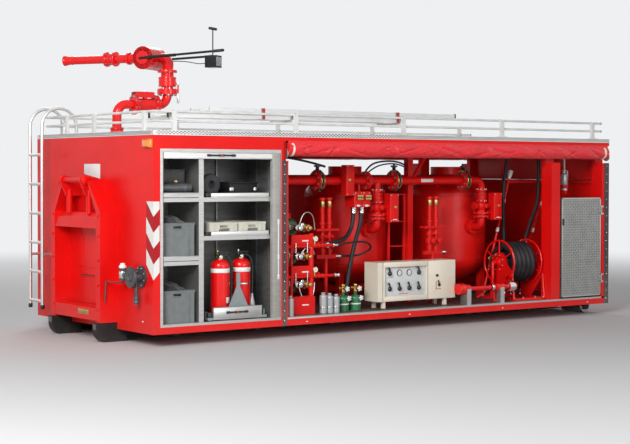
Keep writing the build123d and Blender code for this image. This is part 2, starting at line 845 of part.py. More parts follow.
save("small_manifolds", manifold(2425.0), manifold(3920.0))

# Propellant gas cylinders, lying one above the other with their necks to the left side
gas_radius = 102.0
gas_setback = 1850.0
gas_heights = (1095.0, 800.0, 510.0)
gas_length = 1320.0
gas_front = side_y - 346.0
gas_back = gas_front - gas_length
gas_dome = 70.0
neck_radius = 24.0
x = at(gas_setback)
cylinders = []
for z in gas_heights:
    shell = rod((x, gas_back, z), (x, gas_front, z), gas_radius)
    ends = shell.edges().filter_by(GeomType.CIRCLE).sort_by(Axis.Y)
    shell = fillet([ends[0], ends[-1]], radius=gas_dome)
    shell += rod((x, gas_front - 5, z), (x, gas_front + 25, z), neck_radius)
    cylinders.append(shell)

# Two small green cylinders stand on the floor beside the cabinet
y = side_y - 256.0
for setback in (2440.0, 2600.0):
    bottle = rod((at(setback), y, floor_top), (at(setback), y, floor_top + 165), 62)
    top = bottle.edges().filter_by(GeomType.CIRCLE).sort_by(Axis.Z)[-1]
    bottle = fillet(top, radius=40)
    cylinders.append(bottle + rod((at(setback), y, floor_top + 160), (at(setback), y, floor_top + 195), 16))
save("gas_cylinders", *cylinders)

# Cylinder rack: two uprights with saddles that carry the cylinders, and the red collecting pipes
rack_post = 50.0
saddle = 30.0
rack_pieces = []
for y in (gas_back + 170.0, gas_front - 280.0):
    for dx in (gas_radius + 8, -gas_radius - 8 - rack_post):
        rack_pieces.append(
            block(x + dx, x + dx + rack_post, y - 25, y + 25, floor_top, gas_heights[0] + gas_radius + 40)
        )
    span = gas_radius + 8 + rack_post
    for z in gas_heights:
        bar = block(x - span, x + span, y - 25, y + 25, z - gas_radius - saddle, z - 20)
        rack_pieces.append(bar - rod((x, y - 30, z), (x, y + 30, z), gas_radius + seat))
save("cylinder_rack", fuse(rack_pieces[0:2] + rack_pieces[2:5]), fuse(rack_pieces[5:7] + rack_pieces[7:10]))

# Pressure regulators on the cylinder necks, with the red collecting pipes in front of them
collect_y = gas_front + 160.0
collect_radius = 17.0
collect_heights = (912.0, 598.0)
lower_box_top = 392.0
regulators = []
for z in gas_heights:
    body = rod((x, gas_front + 25, z), (x, gas_front + 90, z), 30)
    body += rod((x - 20, gas_front + 60, z), (x - 130, gas_front + 60, z), 26)
    body += rod((x - 110, gas_front + 60, z), (x - 110, gas_front + 60, z - 40), 30)
    regulators.append(body)
save("regulators", *regulators)

x0, x1 = at(gas_setback + 138.0), at(gas_setback - 138.0)
pipe_run = []
for z, end, height in zip(collect_heights, (2245.0, 2260.0), (100.0, 94.0)):
    pipe_run.append(rod((at(1668.0), collect_y, z), (at(end), collect_y, z), collect_radius))
    pipe_run.append(block(x0, x1, collect_y - 50, collect_y + 20, z + 16, z + 16 + height))
main_riser = (x0 + 2, collect_y - 20)
pipe_run.append(rod((*main_riser, lower_box_top), (*main_riser, collect_heights[0] + 128), 27))
side_riser = (x1 - 13, collect_y)
pipe_run.append(rod((*side_riser, lower_box_top), (*side_riser, collect_heights[0] + 18), 14))
lower_box = block(x0 - 28, x1 + 10, collect_y - 100, collect_y + 25, floor_top, lower_box_top)
pipe_run.append(chamfer(lower_box.edges().filter_by(Axis.Z), 10))
save("collecting_pipes", fuse(pipe_run))

# Small bottles along the sill
bottle_table = (
    # setback, distance from the side, radius, height
    (1648.0, 96.0, 36.0, 185.0),
    (2100.0, 146.0, 38.0, 195.0),
    (2182.0, 146.0, 38.0, 185.0),
    (2266.0, 146.0, 38.0, 172.0),
)
bottles = []
for setback, inset, radius, height in bottle_table:
    y = side_y - inset
    bottle = rod((at(setback), y, floor_top), (at(setback), y, floor_top + height), radius)
    top = bottle.edges().filter_by(GeomType.CIRCLE).sort_by(Axis.Z)[-1]
    bottles.append(fillet(top, radius=radius * 0.6))
save("small_bottles", *bottles)

# Fixed plant hoses between the actuator boxes, the collecting pipes and the floor
plant_hose = 23.0
thin_hose = 11.0
hoses = [
    hose(
        [(at(drop_setbacks[0]), 700, twin_box_under), (at(2797.0), 700, 1130), (at(2700.0), 730, 985),
         (at(2540.0), 800, 935), (at(2350.0), 850, 915), (at(2200.0), 900, 912),
         (at(2200.0), collect_y - collect_radius - seat, 912)],
        plant_hose,
    ),
    hose(
        [(at(drop_setbacks[1]), 700, twin_box_under), (at(2909.0), 700, 1150), (at(2780.0), 740, 900),
         (at(2700.0), 765, 660), (at(2650.0), 775, 430), (at(2640.0), 780, 330),
         (at(2640.0), 780, floor_top)],
        plant_hose,
    ),
    hose(
        [(at(2245.0), collect_y, 912), (at(2330.0), collect_y, 912), (at(2480.0), 1010, 925),
         (at(2660.0), 940, 932), (at(2850.0), 880, 925), (at(2960.0), 830, 850),
         (at(2870.0), 730, 775), (at(2760.0), 690, 768),
         (at(2650.0), manifold_y, manifold_bar), (at(2555.0), manifold_y, manifold_bar)],
        thin_hose,
    ),
]

# Control cabinet on four feet, with its recessed panel. The tip of the powder gun reaches past its end
gun_tip = post_start - 1352.0
cabinet_end = gun_tip + 17.0
cabinet_start = cabinet_end - 1090.0
panel_end = cabinet_end - 410.0
panel_start = cabinet_start + 92.0
cabinet_front = side_y - 146.0
cabinet_back = cabinet_front - 230.0
cabinet_low = 290.0
cabinet_high = 709.0
panel_border = 42.0
panel_depth = 28.0
cabinet = block(at(cabinet_end), at(cabinet_start), cabinet_back, cabinet_front, cabinet_low, cabinet_high)
panel_low, panel_high = cabinet_low + panel_border, cabinet_high - panel_border
panel_back = cabinet_front - panel_depth
cabinet -= block(at(panel_end), at(panel_start), panel_back, cabinet_front, panel_low, panel_high)
for setback in (cabinet_start + 80, cabinet_end - 150):
    for y in (cabinet_back + 20, cabinet_front - 50):
        cabinet += block(at(setback + 40), at(setback), y, y + 30, floor_top, cabinet_low)
save("control_cabinet", cabinet)

# Powder gun parked on two grey stands
gun_y = side_y - 81.0
gun_z = 384.0
gun_table = (
    # distances behind the tip, outer and inner radius
    (0.0, 82.0, 60.0, 38.0),
    (72.0, 157.0, 48.0, 0.0),
    (107.0, 507.0, 25.0, 0.0),
    (492.0, 527.0, 36.0, 0.0),
    (522.0, 737.0, 30.0, 0.0),
    (557.0, 677.0, 40.0, 0.0),
    (732.0, 835.0, 58.0, 0.0),
)
gun = []
for start, end, outer, inner in gun_table:
    gun.append(rod((at(gun_tip + end), gun_y, gun_z), (at(gun_tip + start), gun_y, gun_z), outer, inner))
save("powder_gun", fuse(gun))
stands = []
for start, radius in ((119.0, 48.0), (617.0, 40.0)):
    x = at(gun_tip + start)
    stand = block(x - 30, x + 30, gun_y - 55, gun_y + 55, floor_top, gun_z)
    stands.append(stand - rod((x - 60, gun_y, gun_z), (x + 60, gun_y, gun_z), radius + seat))
save("sill_edgings", fuse([edgings[0], *stands]), edgings[1])

# Hose reel: frame with keyhole bearing plates, drum with spoked rings, and the wound hose
reel_y = 880.0
reel_z = 640.0
reel_width = 430.0
reel_rear = post_start - 40.0
reel_front = reel_rear - reel_width
ring_radius = 260.0
ring_tube = 12.0
reel_gap = 6.0
plate_thickness = 10.0
axle_radius = 20.0
axle_play = 0.05
base_bar = 30.0
base_near = 1150.0
base_far = 610.0


def bearing_plate(x):
    """A keyhole plate with a bearing boss, its two legs and the bar under them."""
    outline = [
        (reel_y - 105, reel_z), (reel_y - 120, floor_top + 40), (reel_y + 60, floor_top + 40),
        (reel_y + 255, reel_z - 140), (reel_y + 258, reel_z - 120), (reel_y + 80, reel_z + 68),
        (reel_y, reel_z),
    ]
    plate = slab(outline, x - plate_thickness / 2, x + plate_thickness / 2)
    plate += disc((x, reel_y, reel_z), (1, 0, 0), 105, plate_thickness)
    plate -= disc((x, reel_y, reel_z), (1, 0, 0), 72, plate_thickness * 2)
    plate += block(x - 5, x + 5, reel_y - 75, reel_y + 75, reel_z - 10, reel_z + 10)
    plate += disc((x, reel_y, reel_z), (1, 0, 0), 34, plate_thickness)
    plate -= disc((x, reel_y, reel_z), (1, 0, 0), axle_radius + axle_play, plate_thickness * 2)
    plate += rod((x, reel_y + 240, reel_z - 140), (x, base_near, floor_top + base_bar / 2), 14)
    plate += block(x - 5, x + 5, base_far, base_near, floor_top, floor_top + base_bar)
    plate += block(x - 5, x + 5, reel_y - 120, reel_y + 60, floor_top + base_bar - 2, floor_top + 42)
    return plate


plate_front = at(reel_front - ring_tube - reel_gap - plate_thickness / 2)
plate_rear = at(reel_rear + ring_tube + reel_gap + plate_thickness / 2)
reel_frame = fuse([bearing_plate(plate_front), bearing_plate(plate_rear)])
for y in (base_near, base_far):
    reel_frame += block(
        plate_rear, plate_front, y - base_bar / 2, y + base_bar / 2, floor_top, floor_top + base_bar
    )
save("reel_frame", reel_frame)

core_radius = 115.0
spoke_count = 6
spoke_radius = 9.0
core_lip = spoke_radius + 2.0
drum = [
    rod((plate_rear - 12, reel_y, reel_z), (plate_front + 12, reel_y, reel_z), axle_radius),
    rod((at(reel_rear) - core_lip, reel_y, reel_z), (at(reel_front) + core_lip, reel_y, reel_z), core_radius),
]
rings = []
for setback in (reel_front, reel_rear):
    x = at(setback)
    rings.append(Pos(x, reel_y, reel_z) * Rot(0, 90, 0) * Torus(ring_radius - ring_tube, ring_tube))
    for i in range(spoke_count):
        angle = radians(30.0 + 360.0 * i / spoke_count)
        dy, dz = cos(angle), sin(angle)
        start = (x, reel_y + dy * (core_radius - 15), reel_z + dz * (core_radius - 15))
        end = (x, reel_y + dy * (ring_radius - ring_tube), reel_z + dz * (ring_radius - ring_tube))
        drum.append(rod(start, end, spoke_radius))
save("reel_drum", fuse(drum + rings))

wound_start = reel_front + ring_tube + 4.0
wound_end = reel_rear - ring_tube - 4.0
wound_radius = 236.0
lay_count = 5
lay = (wound_end - wound_start) / lay_count
profile = [(0, core_radius + seat)]
for i in range(lay_count):
    u = i * lay
    profile += [(u, wound_radius - 26), (u + lay * 0.25, wound_radius), (u + lay * 0.75, wound_radius)]
profile += [(lay_count * lay, wound_radius - 26), (lay_count * lay, core_radius + seat)]
section = make_face(Polyline(*[(u, v) for u, v in profile], close=True))
wound = revolve(section, axis=Axis.X)
save("reel_hose", Pos(at(wound_end), reel_y, reel_z) * wound)

# Chequer-plate equipment door on two hinges at the rear post
door_low = 225.0
door_high = 1378.0
door_outer = side_y - 6.0
door_depth = 35.0
hinge_x = at(door_end - 4.0)
hinge_y = side_y + 7.0
knuckle_radius_out = 8.0
hinge_pin = 4.0
hinge_play = 0.05
hinge_heights = (400.0, 1200.0)
knuckle_length = 60.0
door_inner = door_outer - door_depth
door_edge = 25.0
x0, x1 = at(door_end - door_edge), at(door_start + door_edge)
door = block(at(door_end), at(door_start), door_inner, door_outer, door_low, door_high)
door -= block(x0, x1, door_inner, door_outer - 6, door_low + door_edge, door_high - door_edge)
hinge_lugs = []
for z in hinge_heights:
    z1 = z + knuckle_length
    leaf = block(hinge_x, hinge_x + 40, door_outer - 1, hinge_y - knuckle_radius_out + 3, z, z1)
    knuckle = rod((hinge_x, hinge_y, z), (hinge_x, hinge_y, z1), knuckle_radius_out)
    web = block(hinge_x, hinge_x + 8, door_outer - 1, hinge_y, z, z1)
    door += fuse([leaf, knuckle, web])
    door -= rod((hinge_x, hinge_y, z - 1), (hinge_x, hinge_y, z1 + 1), hinge_pin + hinge_play)
    pin = rod((hinge_x, hinge_y, z - 22), (hinge_x, hinge_y, z1 + 22), hinge_pin)
    lugs = [pin]
    for z0 in (z - 22, z1 + 1):
        lugs.append(rod((hinge_x, hinge_y, z0), (hinge_x, hinge_y, z0 + 21), knuckle_radius_out - 2))
        lugs.append(block(hinge_x - 34, hinge_x, side_y, hinge_y + 3, z0, z0 + 21))
    hinge_lugs.append(fuse(lugs))
save("equipment_door", door)
save("door_hinges", *hinge_lugs)

# Rear bay: a hanging rail with a wall ledge, two slanted lances and two dark supply hoses
lance_y = 500.0
lance_radius = 16.0
rail_low = 1545.0
rail_high = 1575.0
rail_y1 = lance_y - lance_radius - seat
rear_face = body_length - wall
hanger = post_start - 45.0
bar = 30.0
ledge = rear_face - bar
lances = [
    block(at(ledge), at(hanger), rail_y1 - bar, rail_y1, rail_low, rail_high),
    block(at(hanger + bar), at(hanger), rail_y1 - bar, rail_y1, rail_high, roof_under),
    block(at(rear_face), at(ledge), 81.0 - inner_y, inner_y - 11.0, rail_low, rail_high),
]
for top_setback, top_z, slope in ((post_start + 45.0, 1640.0, 3.34), (post_start + 705.0, 1590.0, 2.22)):
    foot = top_setback - (top_z - floor_top + 60) / slope
    lance = rod((at(foot), lance_y, floor_top - 60), (at(top_setback), lance_y, top_z), lance_radius)
    lance -= block(at(foot + 200), at(foot - 200), lance_y - 50, lance_y + 50, 0, floor_top)
    lances.append(lance)
save("rear_rail_lances", *lances)
supply_y = 560.0
supply_radius = 21.0
supply_runs = (
    # distances behind the bay post, and heights
    ((455.0, roof_under), (455.0, 1560.0), (445.0, 1290.0), (275.0, 980.0), (175.0, 620.0),
     (165.0, 380.0), (165.0, floor_top)),
    ((-60.0, roof_under), (-60.0, 1840.0), (-105.0, 1560.0), (-120.0, 1270.0), (-100.0, 900.0),
     (-95.0, 480.0), (-95.0, floor_top)),
)
for run in supply_runs:
    hoses.append(hose([(at(post_start + s), supply_y, z) for s, z in run], supply_radius))
save("plant_hoses", *hoses)

# Front coupling with its valve, drain and cable tube
coupling_y = side_y - 226.0
coupling_z = 668.0
coupling_bore = 25.0
centre = (coupling_y, coupling_z)
coupling = rod((front_x, *centre), (front_x + 20, *centre), 105)
coupling += rod((front_x + 10, *centre), (front_x + 115, *centre), 50)
coupling += rod((front_x + 110, *centre), (front_x + 130, *centre), 100)
coupling += rod((front_x + 65, coupling_y + 10, coupling_z - 20), (front_x + 65, coupling_y + 10, 470.0), 16)
coupling += rod((front_x + 65, coupling_y + 10, 500.0), (front_x + 65, coupling_y + 10, 405.0), 25)
valve_y = coupling_y - 210.0
branch_z = coupling_z + 10.0
coupling += rod((front_x + 65, coupling_y - 30, branch_z), (front_x + 90, valve_y, branch_z), 28)
coupling += rod((front_x + 90, valve_y, coupling_z - 45), (front_x + 90, valve_y, coupling_z + 75), 34)
tube_y = beam_spread / 2 + 14.0
coupling += pipe(
    [(front_x + 90, valve_y, 625.0), (front_x + 90, valve_y, 600.0), (front_x + 130, tube_y, 600.0),
     (front_x + 140, tube_y, 395.0)],
    18, 7,
)
coupling -= rod((front_x + 60, *centre), (front_x + 140, *centre), coupling_bore)
save("front_coupling", coupling)

lamp = block(front_x, front_x + 45, side_y - 140, side_y - 16, 1906, 1980)
save("front_lamp", chamfer(lamp.faces().sort_by(Axis.X)[-1].edges(), 8))

# Monitor riser: base collar, two elbows and the flanged valve with its actuator
monitor_x = at(swivel_setback)
riser_x = at(riser_setback)
valve_front = 490.0
valve_rear = 742.0
monitor_flange = 22.0
swivel_start = 2510.0
swivel_gap = 0.3
riser = pipe(
    [(riser_x, 0, deck_top), (riser_x, 0, valve_height), (monitor_x, 0, valve_height),
     (monitor_x, 0, swivel_start - 20)],
    115, pipe_radius,
)
riser += rod((riser_x, 0, deck_top), (riser_x, 0, deck_top + 60), 66)
for setback in (valve_front, valve_rear):
    riser += disc((at(setback), 0, valve_height), (1, 0, 0), flange_radius, monitor_flange)
riser += rod((at(valve_rear), 0, valve_height), (at(valve_front), 0, valve_height), 66)
valve_middle = (valve_front + valve_rear) / 2
riser += rod((at(valve_middle), 0, valve_height), (at(valve_middle), 0, 2445.0), 26)
riser += block(at(706.0), at(484.0), -45, 45, 2438, 2494)
riser += rod((monitor_x, 0, swivel_start - 30), (monitor_x, 0, swivel_start), flange_radius)
save("monitor_riser", riser)

# Monitor head, built round its trunnion with X along the barrel and Y across it
aim = Vector(cos(radians(parked_yaw)), sin(radians(parked_yaw)), 0)
trunnion = Vector(monitor_x, 0, trunnion_height) + aim * trunnion_offset
head_frame = Plane(origin=trunnion, x_dir=aim, z_dir=(0, 0, 1)).location
drum_radius = 118.0
drum_gap = 5.0
drum_width = 145.0
shaft_radius = 30.0
shaft_play = 0.05
drum_end = drum_gap + drum_width
back = -trunnion_offset
base_z = swivel_start + swivel_gap - trunnion_height


def up(z):
    """Height above the trunnion."""
    return z - trunnion_height


swivel = rod((back, 0, base_z), (back, 0, up(2536.0)), flange_radius)
swivel += rod((back, 0, up(2530.0)), (back, 0, up(2565.0)), 62)
swivel += rod((back, 0, up(2560.0)), (back, 0, up(2661.0)), 91)
swivel += rod((back, 0, up(2655.0)), (back, 0, up(2710.0)), 66)
swivel += rod((back, 0, up(2705.0)), (back, 0, up(2733.0)), 100)
swivel += pipe([(back, 0, up(2720.0)), (back, -50, up(2862.0)), (-20, -77, up(2862.0))], 105, 56)
swivel += rod((0, -drum_gap, 0), (0, -drum_end, 0), drum_radius)
swivel -= rod((0, 0, 0), (0, -drum_end - 20, 0), shaft_radius + shaft_play)
swivel += block(back - 140, back - 80, -14, 14, up(2585.0), up(2600.0))
swivel += rod((back - 128, 0, up(2592.0)), (back - 128, 0, up(2385.0)), 9)
save("monitor_swivel", head_frame * swivel)

barrel_y = drum_gap + drum_width / 2
muzzle_radius = 55.0
barrel = rod((0, drum_gap, 0), (0, drum_end, 0), drum_radius)
barrel += rod((0, drum_gap + 5, 0), (0, -drum_end - drum_gap - 14, 0), shaft_radius)
barrel += rod((0, -drum_end - drum_gap, 0), (0, -drum_end - drum_gap - 14, 0), 60)
barrel_profile = [
    (60, 0), (60, 52), (190, 52), (190, 64), (215, 64), (215, 46), (356, 46), (356, 76), (382, 76),
    (382, 62), (462, 62), (462, 76), (488, 76), (488, 43), (925, 43), (barrel_length, muzzle_radius),
    (barrel_length, 32), (900, 32), (900, 0),
]
tube = revolve(make_face(Polyline(*[(u, v) for u, v in barrel_profile], close=True)), axis=Axis.X)
barrel += Pos(0, barrel_y, 0) * tube
save("monitor_barrel", head_frame * barrel)

# Tiller bars behind the trunnion, with the control box and its handle
tiller_radius = 12.0
tiller_rise = 47.0
sleeve_radius = 16.0
bar_y = drum_end + sleeve_radius + seat
far_y = -(drum_end + drum_gap + 14 + tiller_radius + seat)
tiller_near = rod((30, bar_y, -5), (-tiller_length, bar_y, tiller_rise), tiller_radius)
tiller_near += rod((-400, bar_y, 16), (-40, bar_y, -1), sleeve_radius)
tiller_far = rod((30, far_y, -5), (-600, far_y, 18), tiller_radius)
tiller_far += block(-720, -590, far_y - 65, far_y + 65, -100, 25)
tiller_far += rod((-650, far_y, 20), (-650, far_y, 305), 6)
tiller_far += rod((-650, far_y - 70, 305), (-650, far_y + 70, 305), 12)
save("monitor_tiller", head_frame * tiller_near, head_frame * tiller_far)

# Roof railing: posts with two rails on each side and across the front
rail_plane = side_y - 66.0
front_rail = 50.0
rail_ends = body_length - 55.0
rail_radius = 12.5
top_rail = 2252.5
mid_rail = 2160.0
post_wide = 45.0
post_deep = 30.0
post_foot = deck_top + 8.0
post_top = top_rail + 10.0
side_stations = (271.0, 1696.0, 3101.0, 4528.0, body_length - 218.0)
front_stations = (-644.0, -41.0, 981.0)
bracket_reach = 440.0
stored_base = 2200.0
posts = []
rails = []
rail_inner = rail_plane - post_deep / 2 - rail_radius - seat
for side in (1, -1):
    y = side * rail_plane
    for s in side_stations:
        x = at(s)
        half_wide, half_deep = post_wide / 2, post_deep / 2
        posts.append(block(x - half_wide, x + half_wide, y - half_deep, y + half_deep, post_foot, post_top))
        posts.append(block(x - 60, x + 60, y - 30, y + 30, deck_top, post_foot))
        if side > 0 and s in side_stations[:3]:
            y0, y1 = y - bracket_reach, y - post_deep / 2
            posts.append(block(x - 15, x + 15, y0, y1, stored_base - 20 - seat, stored_base - seat))
    for z in (top_rail, mid_rail):
        y = side * rail_inner
        rails.append(rod((at(rail_ends), y, z), (at(front_rail + 44), y, z), rail_radius))
x = at(front_rail)
for y in front_stations:
    posts.append(block(x - post_deep / 2, x + post_deep / 2, y - 22, y + 22, post_foot, post_top))
    posts.append(block(x - 30, x + 30, y - 50, y + 50, deck_top, post_foot))
for z in (top_rail, mid_rail):
    cross_x = x - post_deep / 2 - rail_radius - seat
    rails.append(rod((cross_x, -rail_plane, z), (cross_x, rail_plane, z), rail_radius))
save("railing_posts", *posts)
save("railing_tubes", *rails)

# Ladders: the access ladder with hoops over the roof edge, and a two-part ladder stored on the left railing
ladder_x = front_x + 150.0
ladder_width = 288.0
ladder_far = 136.0 - side_y
ladder_near = ladder_far + ladder_width
stile_radius = 18.0
hoop_bend = 190.0
rung_pitch = 308.0
rung_top = 1850.0
hoop_top = 2340.0
hoop_back = at(250.0)
access = []
for y in (ladder_near, ladder_far):
    route = [(ladder_x, y, 235), (ladder_x, y, hoop_top), (hoop_back, y, hoop_top), (hoop_back, y, deck_top)]
    access.append(pipe(route, hoop_bend, stile_radius))
    access.append(rod((front_x, y, 799.0), (ladder_x, y, 799.0), 15))
for i in range(6):
    z = rung_top - i * rung_pitch
    access.append(rod((ladder_x, ladder_near, z), (ladder_x, ladder_far, z), 14))
save("access_ladder", fuse(access))

lower_stile = 62.0
upper_stile = 45.0
lower_rung_count = 10
upper_rung_count = 11
ladder_table = (
    # start, end, outer stile and inner stile inside the rail, base height, stile height, rungs
    (230.0, 3160.0, 45.0, 430.0, stored_base, lower_stile, lower_rung_count),
    (700.0, 3870.0, 50.0, 425.0, stored_base + lower_stile + seat, upper_stile, upper_rung_count),
)
ladders = []
for start, end, outer_inset, inner_inset, base, height, rungs in ladder_table:
    outer, inner = rail_plane - outer_inset, rail_plane - inner_inset
    pieces = []
    for y in (outer, inner):
        side = -1 if y == outer else 1
        pieces.append(block(at(end), at(start), y, y + side * 25, base, base + height))
    for i in range(rungs):
        x = at(start + (end - start) * (i + 0.5) / rungs)
        pieces.append(rod((x, inner + 5, base + height / 2), (x, outer - 5, base + height / 2), 13))
    ladders.append(fuse(pieces))
save("stored_ladders", *ladders)

# Rolled side covers on their winding tubes
cover_radius = 62.5
cover_y = half_width - 37.5
cover_z = 1860.0
cover_start = bay_start
cover_end = body_length - 22.0
tube_radius = 25.0
tube_disc = 52.0
disc_thickness = 12.0
flap = 4.0
covers = []
tubes = []
for side in (1, -1):
    y = side * cover_y
    roll = rod((at(cover_end), y, cover_z), (at(cover_start), y, cover_z), cover_radius)
    edge_y = side * (side_y - 2)
    roll += block(at(cover_end), at(cover_start), edge_y, edge_y - side * flap, cover_z + 30, roof_under)
    roll -= rod((at(cover_end), y, cover_z), (at(cover_start), y, cover_z), tube_radius + seat)
    covers.append(roll)
    x0, x1 = at(cover_end + disc_thickness), at(cover_start - disc_thickness)
    tube = rod((x0, y, cover_z), (x1, y, cover_z), tube_radius)
    for start in (cover_start - disc_thickness, cover_end + seat):
        x = at(start + disc_thickness / 2)
        tube += disc((x, y, cover_z), (1, 0, 0), tube_disc, disc_thickness - seat)
    tubes.append(tube)
save("rolled_covers", *covers)
save("cover_tubes", *tubes)
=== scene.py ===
# %% [markdown]
# # A hook-lift container with a dry-powder plant
# This lesson dresses a measured model of a roll-off fire-fighting container. The plain solids come in
# first and stay where they are. Every piece that follows is added around them, in metres: X runs to the
# hook end, Y to the open working side, Z up from the ground.

# %% Load the frame
import bpy
import math
import random
from mathutils import Matrix, Vector


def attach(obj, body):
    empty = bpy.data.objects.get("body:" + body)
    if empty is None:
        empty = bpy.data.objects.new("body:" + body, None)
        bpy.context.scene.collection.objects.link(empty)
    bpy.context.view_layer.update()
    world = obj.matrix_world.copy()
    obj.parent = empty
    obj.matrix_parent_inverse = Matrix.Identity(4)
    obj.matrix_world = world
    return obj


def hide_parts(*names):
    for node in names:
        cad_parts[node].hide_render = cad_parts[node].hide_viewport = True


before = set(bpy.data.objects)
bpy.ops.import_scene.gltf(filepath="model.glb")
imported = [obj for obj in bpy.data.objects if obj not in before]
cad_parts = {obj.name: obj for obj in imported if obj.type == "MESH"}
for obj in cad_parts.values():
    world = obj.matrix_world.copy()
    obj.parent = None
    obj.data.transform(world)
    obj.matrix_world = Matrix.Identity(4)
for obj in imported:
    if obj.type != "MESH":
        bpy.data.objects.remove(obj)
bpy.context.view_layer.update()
bpy.ops.object.select_all(action="DESELECT")

# %% [markdown]
# Most places on the container were read as a distance behind the front wall, so a small helper turns
# such a distance, in millimetres, into X. The other helpers pick one object, settle a finished piece
# into the scene, and copy a small piece many times. A settled piece has its place in its mesh.

# %% Measures and first helpers
FRONT, REAR = 2.9825, -3.2075
SIDE = 1.246


def at(setback):
    """X in metres of a station so many millimetres behind the front wall."""
    return FRONT - setback / 1000


def pick(obj):
    """Selects one object alone."""
    bpy.ops.object.select_all(action="DESELECT")
    obj.select_set(True)
    bpy.context.view_layer.objects.active = obj


def joined(parts):
    """Several objects as one, at the origin."""
    if len(parts) > 1:
        pick(parts[0])
        for part in parts:
            part.select_set(True)
        bpy.ops.object.join()
    return parts[0]


def settle(parts, name, finish, body="container", bevel=0.0, smooth=35, segments=2):
    """Joins the parts of a piece, puts its place into its mesh, rounds, shades, finishes and mounts it."""
    obj = joined(parts) if isinstance(parts, list) else parts
    pick(obj)
    bpy.ops.object.transform_apply(location=True, rotation=True, scale=True)
    if bevel:
        edge = obj.modifiers.new("edge", "BEVEL")
        edge.width, edge.segments = bevel, segments
        edge.limit_method, edge.angle_limit = "ANGLE", math.radians(40)
        edge.harden_normals = False
        bpy.ops.object.modifier_apply(modifier="edge")
    bpy.ops.object.shade_smooth_by_angle(angle=math.radians(smooth))
    obj.name = obj.data.name = name
    obj.data.materials.clear()
    obj.data.materials.append(finish)
    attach(obj, body)
    return obj


def block(low, high):
    """A box between two corners, as an object at the origin."""
    bpy.ops.mesh.primitive_cube_add(size=1, location=[(a + b) / 2 for a, b in zip(low, high)])
    obj = bpy.context.object
    obj.scale = [b - a for a, b in zip(low, high)]
    bpy.ops.object.transform_apply(location=True, rotation=True, scale=True)
    return obj


def box(rear, front, y0, y1, z0, z1):
    """A box between two stations behind the front wall, in millimetres, two Y and two Z, in metres."""
    return block((at(rear), y0, z0), (at(front), y1, z1))


def rotation(axis, degrees):
    """A turn about an axis of the frame."""
    return Matrix.Rotation(math.radians(degrees), 4, axis)


AXES = {"x": rotation("Y", 90), "y": rotation("X", -90), "z": Matrix.Identity(4),
        "-x": rotation("Y", -90), "-y": rotation("X", 90), "-z": rotation("X", 180)}


def facing(axis):
    """The matrix that turns Z to a named axis; a matrix goes through as it is."""
    return axis if isinstance(axis, Matrix) else AXES[axis]


def along(direction):
    """The rotation that turns Z into a direction."""
    return Vector((0, 0, 1)).rotation_difference(Vector(direction).normalized()).to_matrix().to_4x4()


def spot(place, axis="z", spin=0.0):
    """The matrix that sets a Z-up pattern piece down at a place, facing along an axis."""
    return Matrix.Translation(place) @ facing(axis) @ rotation("Z", spin)


def moved(obj, matrix):
    """Moves a mesh by a matrix."""
    obj.data.transform(matrix)
    return obj


def edit_all(obj):
    """Opens one object for editing with all of its mesh selected."""
    pick(obj)
    bpy.ops.object.mode_set(mode="EDIT")
    bpy.ops.mesh.select_all(action="SELECT")


def turned(stations, place=(0, 0, 0), axis="z", sides=32):
    """A turned piece from heights and radii in turn, in millimetres: a disc extruded and scaled."""
    pairs = [(height / 1000, radius / 1000) for height, radius in zip(stations[::2], stations[1::2])]
    height, radius = pairs[0]
    bpy.ops.mesh.primitive_circle_add(vertices=sides, radius=radius, fill_type="NGON", location=(0, 0, height))
    obj = bpy.context.object
    bpy.ops.object.transform_apply(location=True)
    edit_all(obj)
    for next_height, next_radius in pairs[1:]:
        bpy.ops.mesh.extrude_region_move(TRANSFORM_OT_translate={"value": (0, 0, next_height - height)})
        ratio = next_radius / radius
        bpy.ops.transform.resize(value=(ratio, ratio, 1), center_override=(0, 0, next_height))
        height, radius = next_height, next_radius
    bpy.ops.mesh.select_all(action="SELECT")
    bpy.ops.mesh.normals_make_consistent(inside=False)
    bpy.ops.object.mode_set(mode="OBJECT")
    return moved(obj, Matrix.Translation(place) @ facing(axis))


def sliced(obj, *cuts, fill=False):
    """Cuts a mesh by planes, each a point, a normal and which side goes: inner or outer."""
    for point, normal, side in cuts:
        edit_all(obj)
        bpy.ops.mesh.bisect(plane_co=point, plane_no=normal, use_fill=fill, **{"clear_" + side: True})
        bpy.ops.object.mode_set(mode="OBJECT")
    return obj


def copies(unit, matrices):
    """Copies of one small piece, each with its own mesh, joined; the pattern piece is used up."""
    made = []
    for matrix in matrices:
        twin = bpy.data.objects.new(unit.name + "_copy", unit.data.copy())
        bpy.context.collection.objects.link(twin)
        made.append(moved(twin, matrix))
    bpy.data.objects.remove(unit, do_unlink=True)
    return joined(made)


def tube(points, radius, smooth_line=False, sides=6):
    """A tube along points, straight from one to the next or along one smooth line, as a mesh."""
    line = bpy.data.curves.new("tube", "CURVE")
    line.dimensions = "3D"
    line.bevel_depth, line.bevel_resolution = radius, sides
    line.use_fill_caps = True
    spline = line.splines.new("NURBS" if smooth_line else "POLY")
    spline.points.add(len(points) - 1)
    for target, point in zip(spline.points, points):
        target.co = (*point, 1)
    if smooth_line:
        spline.order_u, spline.resolution_u = 3, 10
        spline.use_endpoint_u = True
    obj = bpy.data.objects.new("tube", line)
    bpy.context.collection.objects.link(obj)
    pick(obj)
    bpy.ops.object.convert(target="MESH")
    return bpy.context.object


print("helpers ready")

# %% [markdown]
# The finishes come from one recipe. Paint on a working vehicle is never one even colour: it has a soft
# cloudiness, dust that gathers low down, and the fine waviness called orange peel, so the recipe mixes
# two colours by noise, drives roughness by the same noise and adds a shallow bump. The numbers that are
# the same all over, such as metalness and coat, are set on the shader itself.

# %% The finish recipe
DUST = (0.33, 0.29, 0.25, 1)


